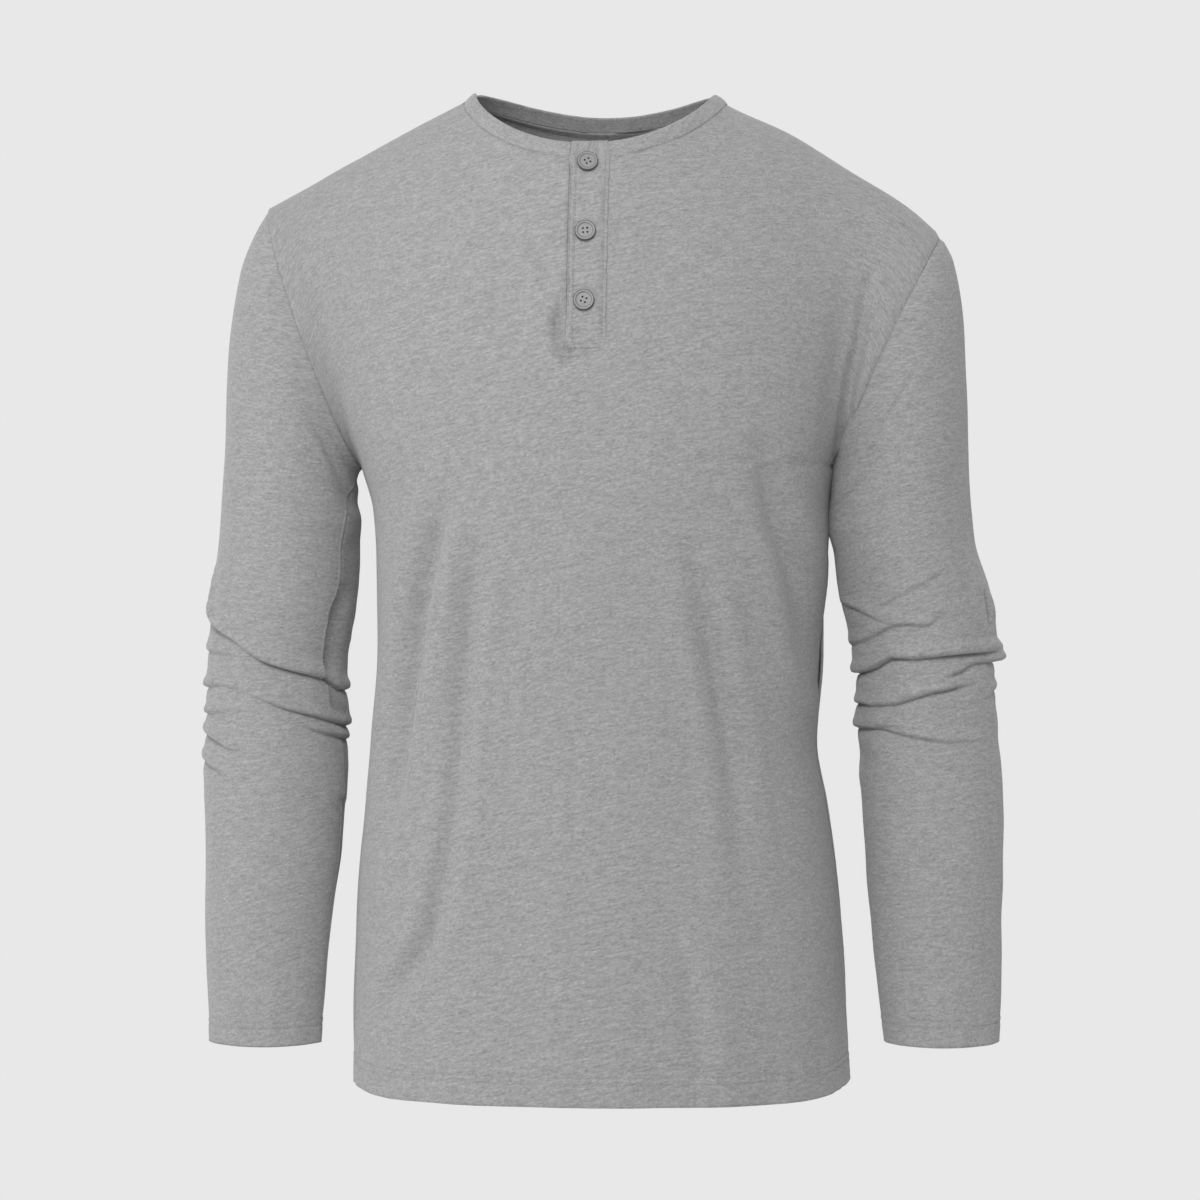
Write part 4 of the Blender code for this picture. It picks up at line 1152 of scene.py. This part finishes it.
def tuck_left_elbow(out, point, along, angle):
    """The left elbow: a slot where the outside tucks in, the folds beside it, and the
    bulge above it that touches the body."""
    turn = (np.degrees(angle) + 180) % 360 - 180
    tuck = bump(along - 0.267, 0.015)
    out -= 0.0095 * tuck * bell(turn - 22, np.where(turn < 22, 3.4, 1.3))
    out += 0.0020 * tuck * bell(turn - 10, 7)
    out += 0.0042 * np.exp(-(((along - 0.2962) / 0.0070) ** 4)) * bump(turn, 34)
    under = np.degrees(angle) % 360 - 180
    out += 0.0022 * bell(along - 0.346, 0.011) * bump(under, 36)
    out += 0.0027 * touching(point) * bell(under, 34)


def sleeve_shape(side, along, angle):
    """Outer points, way out and UV of a sleeve with its creases and cuff."""
    along, angle = np.broadcast_arrays(np.asarray(along, float), np.asarray(angle, float))
    step = 0.0015
    cuff = SLEEVE[side][-1][0]
    point = sleeve_base(side, along, angle)
    round_it = sleeve_base(side, along, angle + 0.01) - sleeve_base(side, along, angle - 0.01)
    down = sleeve_base(side, np.minimum(along + step, cuff), angle)
    down = unit(down - sleeve_base(side, np.maximum(along - step, 0), angle))
    normal = unit(np.cross(round_it, down)) * side
    out, slip = np.zeros((2, *along.shape))
    crease_sleeve(out, slip, side, along, angle)
    rumple(out, side, along, angle)
    sew_underarm(out, side, along, angle)
    if side > 0:
        tuck_left_elbow(out, point, along, angle)
    low = ramp(-np.cos(angle), -0.4, 0.7) if side < 0 else 1.5
    out -= (0.0004 + 0.0014 * low) * bell(along, 0.0020)
    up = cuff - along
    wave = np.sin(angle * 11 + 1.3) * 0.00035 + np.sin(angle * 3) * 0.0004
    turn_up(out, up, sizes().cuff, wave, 0.02)
    slip *= ramp(along, 0, 0.02) * ramp(up, 0, 0.02)
    moved = point + normal * out[..., None] + down * slip[..., None]
    uv = np.stack((angle * SLEEVE_RADIUS, up), -1)
    if along.ndim == 2:
        uv[..., 1] = lengths(point[::-1])[::-1]
    right, left = 0.20 * ramp(along, 0.24, 0.5), 0.12 + 0.14 * bump(along - 0.22, 0.09)
    uv[..., 1] -= side * (right if side < 0 else left) * SLEEVE_RADIUS * np.cos(angle)
    return moved, normal, uv


def sleeve_stops(side):
    """Distances along a sleeve, closer in its seam, its elbow's creases and its cuff."""
    cuff = SLEEVE[side][-1][0]
    start, end = (0.255, 0.425) if side < 0 else (0.225, 0.375)
    return np.concatenate((
        np.linspace(0, 0.006, 4)[:-1], np.linspace(0.006, start, 62)[:-1],
        np.linspace(start, end, 158)[:-1], np.linspace(end, cuff - 0.0215, 38)[:-1],
        np.linspace(cuff - 0.0215, cuff, 16)))


def sleeve_turns(side):
    """Angles round a sleeve, closer at its seam or at the tuck on its outside."""
    start, end = (126, 172) if side < 0 else (6, 38)
    before, close, after = (90, 48, 23) if side < 0 else (60, 34, 67)
    return np.radians(np.concatenate((
        np.linspace(-160, start, before)[:-1], np.linspace(start, end, close)[:-1],
        np.linspace(end, 200, after)[:-1])))


def make_sleeve(side):
    """A sleeve: a tube of jersey from its armhole to its turned-up cuff."""
    stops = sleeve_stops(side)
    cuff = stops[-1]
    turns = sleeve_turns(side)
    along, angle = np.meshgrid(stops, turns, indexing="ij")
    outer, normal, uv = sleeve_shape(side, along, angle)
    _, out_x, out_z, in_x, in_z, _, _ = SLEEVE[side][0]
    seam = unit(np.array((side * (out_z - in_z), 0, in_x - out_x)))
    # The seam's edge is turned in under the body's cloth.
    outer[0] += seam * -0.0022 - armhole_radial(side, outer[0]) * 0.0011
    normal[0] = armhole_radial(side, outer[0])
    wall = sizes().cloth * (1 + ramp(cuff - along, sizes().cuff + 0.0025, sizes().cuff))
    inner = outer - normal * wall[..., None]
    return shell(f"jersey_sleeve_{SLEEVE_NAME[side]}", outer, inner, uv, closed=True)


# ---------------------------------------------------------------------------
# Neckband and placket
# ---------------------------------------------------------------------------

def neck_edge(face, u):
    """A point of the neck's seam, with the ways along it, up the band and out of it."""
    u = np.asarray(u, float)
    step = 0.004

    def edge(at):
        return upper_point(face, at, end_v(face, at))

    point = edge(u)
    low, high = np.maximum(u - step, -NECK_SHARE), np.minimum(u + step, NECK_SHARE)
    along = unit(edge(high) - edge(low))
    rise = unit(point - upper_point(face, u, end_v(face, u) - 0.004))
    side = np.sign(u)
    corner = ramp(np.abs(u), NECK_SHARE - 0.07, NECK_SHARE - 0.01)[..., None]
    rise = rise * (1 - corner) + unit(stack(-side, 0 * side, 0.55 + 0 * side)) * corner
    rise = unit(rise - (rise * along).sum(-1)[..., None] * along)
    up = unit(rise + BAND_LEAN * np.array((0, 0, 1.0)))
    up = unit(up - (up * along).sum(-1)[..., None] * along)
    out = unit(np.cross(along, up)) * (1 if face == "front" else -1)
    return point, along, up, out


def eased(values, reach):
    """Values along a path with their sharp changes evened out."""
    kernel = np.hanning(2 * reach + 1)
    kernel /= kernel.sum()
    padded = np.concatenate((values[:1].repeat(reach, 0), values, values[-1:].repeat(reach, 0)))
    return np.stack([np.convolve(padded[:, n], kernel, "valid") for n in range(3)], -1)


def neck_loop():
    """The neck's seam from the slit's left edge round the back to its right edge."""
    top = np.ones(())
    left, right = float(u_at(SLOT_LEFT, top)), float(u_at(SLOT_RIGHT, top))
    turn = np.sin(np.linspace(0, math.pi / 2, 90))
    parts = [
        neck_edge("front", left + (NECK_SHARE - left) * turn),
        neck_edge("back", NECK_SHARE * np.sin(np.linspace(math.pi / 2, -math.pi / 2, 220))[1:-1]),
        neck_edge("front", right + (-NECK_SHARE - right) * turn[::-1]),
    ]
    point = np.concatenate([part[0] for part in parts])
    up = unit(eased(np.concatenate([part[2] for part in parts]), 12))
    along = unit(np.gradient(point, axis=0))
    up = unit(up - (up * along).sum(-1)[:, None] * along)
    out = unit(np.cross(along, up))
    length = lengths(point)
    corners = length[len(parts[0][0]) - 1], length[len(point) - len(parts[2][0])]
    low = sum(bell(length - corner, 0.011) for corner in corners)
    return point, along, up, out, length, 1 - 0.24 * low


def make_neckband():
    """The folded band round the neck, from one edge of the slit to the other."""
    point, _, up, out, length, height = neck_loop()
    wall, high = 0.0021, BAND_HEIGHT
    climb = np.array((-0.0006, 0.0004, 0.0014, 0.0030, 0.0048, 0.0066, 0.0082, 0.0092))
    swell = 0.0005 * np.sin(np.clip(climb / high, 0, 1) * math.pi) - 0.0004 * (climb < 0)
    cap = np.radians((18, 50, 90, 130, 162))
    rise = np.concatenate((climb, high - wall / 2 + wall / 2 * np.sin(cap), climb[::-1]))
    depth = np.concatenate((-swell, wall / 2 - wall / 2 * np.cos(cap), wall + 0 * climb))
    wave = np.sin(length * 410) * 0.00012 + np.sin(length * 150 + 1) * 0.0003
    rows = point[:, None] + up[:, None] * (rise * height[:, None])[..., None]
    rows = rows - out[:, None] * (depth[None, :, None] + wave[:, None, None] * 0.6)
    round_it = lengths(np.stack((rise, depth), -1))
    uv = stack(length[:, None] + 0.7, round_it[None])
    return tube("jersey_neckband", rows, uv)


def tube(name, rows, uv):
    """A solid whose cross-sections are closed loops, capped at both its ends."""
    count, size = rows.shape[:2]
    j, i = np.meshgrid(np.arange(count - 1), np.arange(size), indexing="ij")
    faces = cells(j.ravel(), i.ravel(), size)
    n = np.arange((size - 1) // 2)
    cap = np.stack((n, n + 1, size - 2 - n, size - 1 - n), 1)
    if size % 2:
        cap[-1, 2] = cap[-1, 1] + 1
    last = (count - 1) * size
    faces = np.concatenate((faces, cap[:, ::-1], cap + last))
    return build(name, rows.reshape(-1, 3), faces, uv.reshape(-1, 2))


def placket_grid(x, share, lift):
    """Points this far out from the front panel. A share past 1 goes on up the band."""
    x, share, lift = np.broadcast_arrays(x, share, lift)
    low = np.minimum(share, 1.0)
    u = u_at(x, low)
    point, normal, uv = panel_shape("front", u, low)
    _, _, up, out = neck_edge("front", u)
    above = np.maximum(share - 1.0, 0)[..., None]
    blend = ramp(share, 0.97, 1.03)[..., None]
    normal = unit(normal * (1 - blend) + out * blend)
    return point + up * (above * BAND_HEIGHT) + normal * lift[..., None], normal, uv


def strip_shares(bottom_z, x):
    """The rows of a strip from a straight foot at this height up to the band's top."""
    start = share_at(bottom_z, x)
    rows = np.concatenate((np.linspace(0, 0.025, 8)[:-1], np.linspace(0.025, 1, 140)))[:, None]
    over_band = 1 + 0 * start + np.linspace(0, 1, 14)[1:, None]
    return np.concatenate((start + (1 - start) * rows, over_band))


def make_under_strip():
    """The strip sewn to the slit's right edge, which shows as a line beside the top one."""
    x = np.linspace(SLOT_RIGHT + GAP, SLOT_LEFT - GAP, 14)
    share = strip_shares(SLOT_BOTTOM_Z, x)
    outer, normal, uv = placket_grid(x, share, -0.0006 + 0.0014 * ramp(share, 0.93, 1.0))
    return shell("jersey_placket_under", outer, outer - normal * sizes().cloth, uv + 0.4)


def strip_lift(x, share):
    """How far the top strip stands out: its free edge rolls, the sewn ones lie flat."""
    left, right = x - PLACKET_RIGHT, PLACKET_LEFT - x
    lift = np.full(x.shape, GAP + 0.0011)
    lift -= 0.0010 * ramp(right, 0.0060, 0.0015)
    foot = (share - share_at(PLACKET_BOTTOM_Z)) * UPPER_RISE
    lift -= 0.0008 * ramp(foot, 0.0090, 0.0010)
    for gap, roll in ((left, 0.00040), (right, 0.00042)):
        lift += roll * bell(gap - 0.0006, 0.0008)
        lift -= 0.00030 * bell(gap - 0.0024, 0.0007)
    return lift


def make_top_strip():
    """The folded strip that carries the buttonholes, laid over the slit."""
    across = np.linspace(0, 1, 40)
    straight = PLACKET_RIGHT + (PLACKET_LEFT - PLACKET_RIGHT) * across
    share = strip_shares(PLACKET_BOTTOM_Z, straight)
    length = share * UPPER_RISE
    wobble = 0.00035 * np.sin(length * 260) + 0.0002 * np.sin(length * 610 + 1)
    right = PLACKET_RIGHT + wobble
    left = PLACKET_LEFT - 0.00025 * np.sin(length * 330 + 2)
    x = right + (left - right) * across
    lift = strip_lift(x, share)
    for z in BUTTON_HEIGHTS:
        middle = share_at(z)
        away = (share - middle) * UPPER_RISE
        lift -= 0.0004 * np.exp(-((away / 0.007) ** 2) - ((x / 0.006) ** 2))
    start = share[0]
    for up in BOX_ROWS:
        lift -= 0.0003 * bell((share - start) * UPPER_RISE - up, 0.0008)
    outer, normal, uv = placket_grid(x, share, lift)
    return shell("jersey_placket_top", outer, outer - normal * sizes().cloth, uv + 0.9)


# ---------------------------------------------------------------------------
# Stitches
# ---------------------------------------------------------------------------

def resampled(points, pitch, *others):
    """A path cut to even lengths, with whatever else is known at its points."""
    length = lengths(points)
    count = max(int(round(length[-1] / pitch)), 2)
    at = (np.arange(count) + 0.5) / count * length[-1]
    return [np.stack([np.interp(at, length, data[:, n]) for n in range(3)], -1)
            for data in (points, *others)]


def make_stitches(name, paths, lift=0.0001):
    """Rows of machine stitches: a short bowed strand for each, its ends sunk in the cloth."""
    rng = np.random.default_rng(3)
    radius, pitch = sizes().thread / 2, sizes().stitch
    sides = 6
    turn = np.linspace(0, math.tau, sides + 1)[:-1]
    stops = np.array((-1.0, -0.86, -0.45, 0.0, 0.45, 0.86, 1.0))
    thick = np.array((0.35, 0.85, 1.0, 1.0, 1.0, 0.85, 0.35))
    sink = np.array((-1.1, -0.55, 0.25, 0.45, 0.25, -0.55, -1.1))
    each = sides * len(stops)
    verts, faces, base = [], [], 0
    wall = np.concatenate([cells(j, np.arange(sides), sides) for j in range(len(stops) - 1)])
    ends = np.array(((3, 2, 1, 0), (5, 4, 3, 0), (36, 37, 38, 39), (36, 39, 40, 41)))
    one = np.concatenate((wall, ends))
    for points, normals in paths:
        middle, out = resampled(points, pitch, normals)
        out = unit(out)
        along = unit(np.gradient(middle, axis=0))
        side = unit(np.cross(along, out))
        half = pitch * STRAND_SHARE / 2 * rng.uniform(0.93, 1.05, len(middle))
        slant = rng.normal(0, 0.05, len(middle))[:, None]
        way = unit(along + side * slant)
        centre = (middle[:, None] + way[:, None] * (stops[None] * half[:, None])[..., None]
                  + out[:, None] * (lift + sink * radius)[None, :, None])
        around = (side[:, None, None] * np.cos(turn)[None, None, :, None]
                  + out[:, None, None] * np.sin(turn)[None, None, :, None])
        strands = centre[:, :, None] + around * (thick * radius)[None, :, None, None]
        verts.append(strands.reshape(-1, 3))
        start = base + np.arange(len(middle)) * each
        faces.append((start[:, None, None] + one[None]).reshape(-1, 4))
        base += len(middle) * each
    return build(name, np.concatenate(verts), np.concatenate(faces))


def hem_paths(face):
    """The twin rows round a panel's hem, from seam to seam."""
    u = np.linspace(-0.995, 0.995, 420)
    return [panel_shape(face, u, np.full(u.shape, up / RISE - 1))[:2]
            for up in twin_rows(sizes().hem)]


def cuff_paths(side):
    """The twin rows round a cuff."""
    cuff = SLEEVE[side][-1][0]
    angle = np.linspace(0, math.tau, 300)
    return [sleeve_shape(side, np.full(angle.shape, cuff - up), angle)[:2]
            for up in twin_rows(sizes().cuff)]


def placket_paths():
    """The rows up both edges of the top strip and across the box at its foot."""
    start = float(share_at(PLACKET_BOTTOM_Z))
    right, left = PLACKET_RIGHT + 0.0024, PLACKET_LEFT - 0.0024
    paths = []
    for x in (right, left):
        share = np.linspace(start + 0.010, 1.9, 260)
        place = np.full(share.shape, x)
        paths.append(placket_grid(place, share, strip_lift(place, share))[:2])
    for up in BOX_ROWS:
        place = np.linspace(right, left, 40)
        share = np.full(place.shape, start + up / UPPER_RISE)
        paths.append(placket_grid(place, share, strip_lift(place, share) - 0.0003)[:2])
    return paths


def neck_paths():
    """The topstitch that lies on the body just below the neck's seam."""
    top = np.ones(())
    left, right = float(u_at(PLACKET_LEFT, top)), float(u_at(SLOT_RIGHT - 0.001, top))
    return [panel_shape(face, np.linspace(start, end, 220), np.full(220, 0.990))[:2]
            for face, start, end in (("front", left, NECK_SHARE),
                                     ("back", NECK_SHARE, -NECK_SHARE),
                                     ("front", -NECK_SHARE, right))]


# ---------------------------------------------------------------------------
# Buttons
# ---------------------------------------------------------------------------

def deselect():
    bpy.ops.object.select_all(action="DESELECT")


def added():
    """The object that the last operator made."""
    return bpy.context.view_layer.objects.active


def pick(*pieces):
    """Selects these pieces alone, and makes the first of them active."""
    deselect()
    for piece in pieces:
        piece.select_set(True)
    bpy.context.view_layer.objects.active = pieces[0]


def hole_spot(turn, n):
    """Where the middle of a button's hole is, for a button turned this far."""
    angle = turn + math.pi / 4 + n * math.pi / 2
    return HOLE_REACH * math.cos(angle), HOLE_REACH * math.sin(angle)


def model_button(name, turn):
    """A round button: a rolled rim, a dished middle with a step, and four holes."""
    radius = sizes().button / 2
    deselect()
    bpy.ops.mesh.primitive_cylinder_add(
        vertices=72, radius=radius, depth=BUTTON_THICK, end_fill_type="NGON",
        location=(0, 0, BUTTON_THICK / 2))
    piece = added()
    piece.name = piece.data.name = name
    pick(piece)
    bpy.ops.object.mode_set(mode="EDIT")
    bpy.ops.mesh.select_mode(type="FACE")
    bpy.ops.mesh.select_all(action="DESELECT")
    bpy.ops.object.mode_set(mode="OBJECT")
    for face in piece.data.polygons:
        face.select = face.normal.z > 0.9
    bpy.ops.object.mode_set(mode="EDIT")
    # The rim, the step down inside it, and the slightly dished middle.
    for inset, drop in ((0.0006, 0.0), (0.00105, 0.0), (0.00045, -0.0007), (0.0012, -0.0001),
                        (0.0004, 0.0001)):
        bpy.ops.mesh.inset(thickness=inset, depth=0)
        bpy.ops.transform.translate(value=(0, 0, drop))
    bpy.ops.object.mode_set(mode="OBJECT")
    bevel = piece.modifiers.new("edges", "BEVEL")
    bevel.width, bevel.segments = 0.0004, 3
    bevel.limit_method, bevel.angle_limit = "ANGLE", math.radians(28)
    drills = []
    for n in range(4):
        deselect()
        bpy.ops.mesh.primitive_cylinder_add(
            vertices=24, radius=HOLE_RADIUS, depth=BUTTON_THICK * 3,
            location=(*hole_spot(turn, n), BUTTON_THICK / 2))
        drills.append(added())
        cut = piece.modifiers.new(f"hole_{n}", "BOOLEAN")
        cut.operation, cut.object, cut.solver = "DIFFERENCE", drills[-1], "EXACT"
    pick(piece)
    for modifier in list(piece.modifiers):
        bpy.ops.object.modifier_apply(modifier=modifier.name)
    for drill in drills:
        mesh = drill.data
        bpy.data.objects.remove(drill)
        bpy.data.meshes.remove(mesh)
    pick(piece)
    bpy.ops.object.shade_smooth_by_angle(angle=math.radians(35))
    # Painted shade: the rim's outer band and the holes' walls are coloured dark, the steep steps
    # less so.
    edge = piece.data.attributes.new("edge", "FLOAT", "FACE")
    for index, face in enumerate(piece.data.polygons):
        away = face.center.xy.length / radius
        upright = 1 - abs(face.normal.z)
        if away > 0.93 or (away < 0.5 and upright > 0.5):
            edge.data[index].value = 1.0
        elif upright > 0.12:
            edge.data[index].value = 0.35
    return piece


def model_button_thread(name, turn):
    """The two strands that hold a button, each running down through a pair of holes."""
    parts = []
    for n in (0, 2):
        (x, y), (ex, ey) = hole_spot(turn, n), hole_spot(turn, n + 1)
        for back in (-0.00018, 0.00018):
            deselect()
            bpy.ops.mesh.primitive_cylinder_add(
                vertices=10, radius=0.0002, depth=math.hypot(ex - x, ey - y) + 0.0002,
                location=((x + ex) / 2 + back, (y + ey) / 2 + back, -0.00015),
                rotation=(math.pi / 2, 0, math.atan2(ey - y, ex - x) + math.pi / 2))
            parts.append(added())
    pick(*parts)
    bpy.ops.object.join()
    parts[0].name = parts[0].data.name = name
    return parts[0]


def seat(piece, point, out, rise):
    """Lays a piece made flat on the floor on the placket, and bakes its place in."""
    up = Vector((0, 0, 1))
    out = Vector(out).normalized()
    across = up.cross(out).normalized()
    up = out.cross(across).normalized()
    turn = Matrix((across, up, out)).transposed().to_4x4()
    place = Matrix.Translation(Vector(point) + out * rise) @ turn
    piece.data.transform(place @ piece.matrix_world)
    piece.matrix_world = Matrix.Identity(4)
    piece.data.update()


# ---------------------------------------------------------------------------
# Stage
# ---------------------------------------------------------------------------

def make_floor():
    """A wide pale disc well below the shirt."""
    bpy.ops.mesh.primitive_circle_add(
        vertices=96, radius=ROOM_RADIUS, fill_type="NGON", location=(0, 0, -1.6))
    floor = added()
    floor.name = "floor"
    finish = Finish("floor_pale", 0.9)
    place = finish.node("ShaderNodeTexCoord", {}, {}, 3)
    grain = finish.noise(place, 9.0, 3.0)
    finish.feed("Base Color", finish.mix(
        grain, shade(colours().backdrop, 0.985), shade(colours().backdrop, 1.015)))
    floor.data.materials.append(finish.material)


def make_backdrop():
    """A round wall that glows evenly behind the shirt and less beside and before it."""
    deselect()
    bpy.ops.mesh.primitive_cylinder_add(
        vertices=128, radius=ROOM_RADIUS, depth=8, end_fill_type="NOTHING", location=(0, 0, 2.4))
    wall = added()
    wall.name = "backdrop"
    bpy.ops.object.shade_smooth()
    finish = Finish("backdrop_glow", 1.0, {
        "Base Color": (0, 0, 0, 1), "Specular IOR Level": 0.0, "Emission Strength": 1.0})
    place = finish.node("ShaderNodeTexCoord", {}, {}, 3)
    depth = finish.node("ShaderNodeSeparateXYZ", {}, {"Vector": place}, 1)
    finish.feed("Emission Color", finish.mix(
        finish.span(depth, 0.5, 3.5), shade(colours().backdrop, SURROUND),
        shade(colours().backdrop, 1.0)))
    wall.data.materials.append(finish.material)


def make_lights(scene):
    """An even surround, a soft key from above the camera and a fill low on the right arm."""
    world = bpy.data.worlds.new("studio")
    scene.world = world
    world.use_nodes = True
    sky = world.node_tree.nodes["Background"]
    sky.inputs["Color"].default_value = (*colours().backdrop, 1)
    sky.inputs["Strength"].default_value = SURROUND
    for name, spot, size, power in (
        ("key", (-0.19, -2.20, 1.02), 1.2, 42.0),
        ("side", (-2.39, -0.87, -0.90), 1.2, 18.5),
    ):
        light = bpy.data.lights.new(name, "AREA")
        light.energy, light.size = power, size
        lamp = bpy.data.objects.new(name, light)
        scene.collection.objects.link(lamp)
        lamp.location = spot
        toward = Vector(MIDDLE) - Vector(spot)
        lamp.rotation_euler = toward.to_track_quat("-Z", "Y").to_euler()


def make_camera(scene):
    """A long lens at the height of the shirt's middle."""
    data = bpy.data.cameras.new("camera")
    data.lens, data.sensor_width = 126.0, 36.0
    data.clip_start, data.clip_end = 0.05, 100
    camera = bpy.data.objects.new("camera", data)
    scene.collection.objects.link(camera)
    turn, distance = sizes().camera_turn, sizes().camera_distance
    camera.location = Vector(MIDDLE) + Vector((math.sin(turn), -math.cos(turn), 0)) * distance
    camera.rotation_euler = (math.pi / 2, 0, turn)
    scene.camera = camera


# ---------------------------------------------------------------------------
# Operators
# ---------------------------------------------------------------------------

class HENLEY_OT_body(bpy.types.Operator):
    """Makes the front and back panels"""

    bl_idname = "henley.body"
    bl_label = "Front and back"

    def execute(self, context):
        for face, area in (("front", 0.320), ("back", 0.322)):
            piece = finished(make_panel(face), jersey(), face)
            rows = finished(make_stitches(f"stitching_hem_{face}", hem_paths(face)), thread())
        return {"FINISHED"}


class HENLEY_OT_sleeves(bpy.types.Operator):
    """Makes both sleeves, pushed up into creases below the elbow"""

    bl_idname = "henley.sleeves"
    bl_label = "Sleeves"

    def execute(self, context):
        for side in (-1, 1):
            name = SLEEVE_NAME[side]
            piece = finished(make_sleeve(side), jersey(), f"sleeve_{name}")
            rows = finished(make_stitches(f"stitching_cuff_{name}", cuff_paths(side)), thread())
        return {"FINISHED"}


class HENLEY_OT_neck(bpy.types.Operator):
    """Makes the neckband and the two strips of the placket"""

    bl_idname = "henley.neck"
    bl_label = "Neckband and placket"

    def execute(self, context):
        band = finished(make_neckband(), jersey(), "neckband")
        top_row = finished(make_stitches("stitching_neck", neck_paths(), lift=0.0), thread())
        under = finished(make_under_strip(), jersey(), "placket_under")
        strip = finished(make_top_strip(), jersey(), "placket_top")
        rows = finished(make_stitches("stitching_placket", placket_paths()), thread())
        return {"FINISHED"}


class HENLEY_OT_buttons(bpy.types.Operator):
    """Makes the three buttons and the thread that holds them"""

    bl_idname = "henley.buttons"
    bl_label = "Buttons"

    def execute(self, context):
        for number, (z, degrees) in enumerate(zip(BUTTON_HEIGHTS, BUTTON_TURNS), 1):
            turn = math.radians(degrees)
            share = np.full((1,), share_at(z))
            point, out, _ = placket_grid(np.zeros(1), share, GAP + 0.0013)
            button = model_button(f"button_plate_{number}", turn)
            strands = model_button_thread(f"button_thread_{number}", turn)
            seat(button, point[0], out[0], 0.0002)
            seat(strands, point[0], out[0], 0.0014)
            finished(button, plastic(), f"button_{number}", slot="button_plastic")
            # Painted shade: the button thread is given a much darker tone so that the holes it
            # sits in read as dark.
            finished(strands, thread("button_thread", 0.3))
            if len(button.data.polygons) < 100:
                raise RuntimeError(f"{button.name} lost its holes")
        return {"FINISHED"}


class HENLEY_OT_stage(bpy.types.Operator):
    """Makes the floor, the lights, the backdrop and the camera"""

    bl_idname = "henley.stage"
    bl_label = "Stage"

    def execute(self, context):
        make_floor()
        make_backdrop()
        make_lights(context.scene)
        make_camera(context.scene)
        context.scene.view_settings.view_transform = "Standard"
        return {"FINISHED"}


class HENLEY_PT_panel(bpy.types.Panel):
    """The shirt's sizes, colours and steps"""

    bl_label = "Henley Shirt"
    bl_idname = "HENLEY_PT_panel"
    bl_space_type = "VIEW_3D"
    bl_region_type = "UI"
    bl_category = "Henley"

    def draw(self, context):
        layout = self.layout
        for group in (context.scene.henley_sizes, context.scene.henley_colours):
            box = layout.box()
            for name in group.bl_rna.properties.keys():
                if name not in ("rna_type", "name"):
                    box.prop(group, name)
        for operator in STEPS:
            layout.operator(operator.bl_idname)


STEPS = (HENLEY_OT_body, HENLEY_OT_sleeves, HENLEY_OT_neck, HENLEY_OT_buttons, HENLEY_OT_stage)
CLASSES = (HenleySizes, HenleyColours, *STEPS, HENLEY_PT_panel)


def register():
    for cls in CLASSES:
        bpy.utils.register_class(cls)
    bpy.types.Scene.henley_sizes = bpy.props.PointerProperty(type=HenleySizes)
    bpy.types.Scene.henley_colours = bpy.props.PointerProperty(type=HenleyColours)


def unregister():
    del bpy.types.Scene.henley_colours
    del bpy.types.Scene.henley_sizes
    for cls in reversed(CLASSES):
        bpy.utils.unregister_class(cls)


def main():
    register()
    bpy.ops.henley.body()
    bpy.ops.henley.sleeves()
    bpy.ops.henley.neck()
    bpy.ops.henley.buttons()
    bpy.ops.henley.stage()


if __name__ == "__main__":
    main()
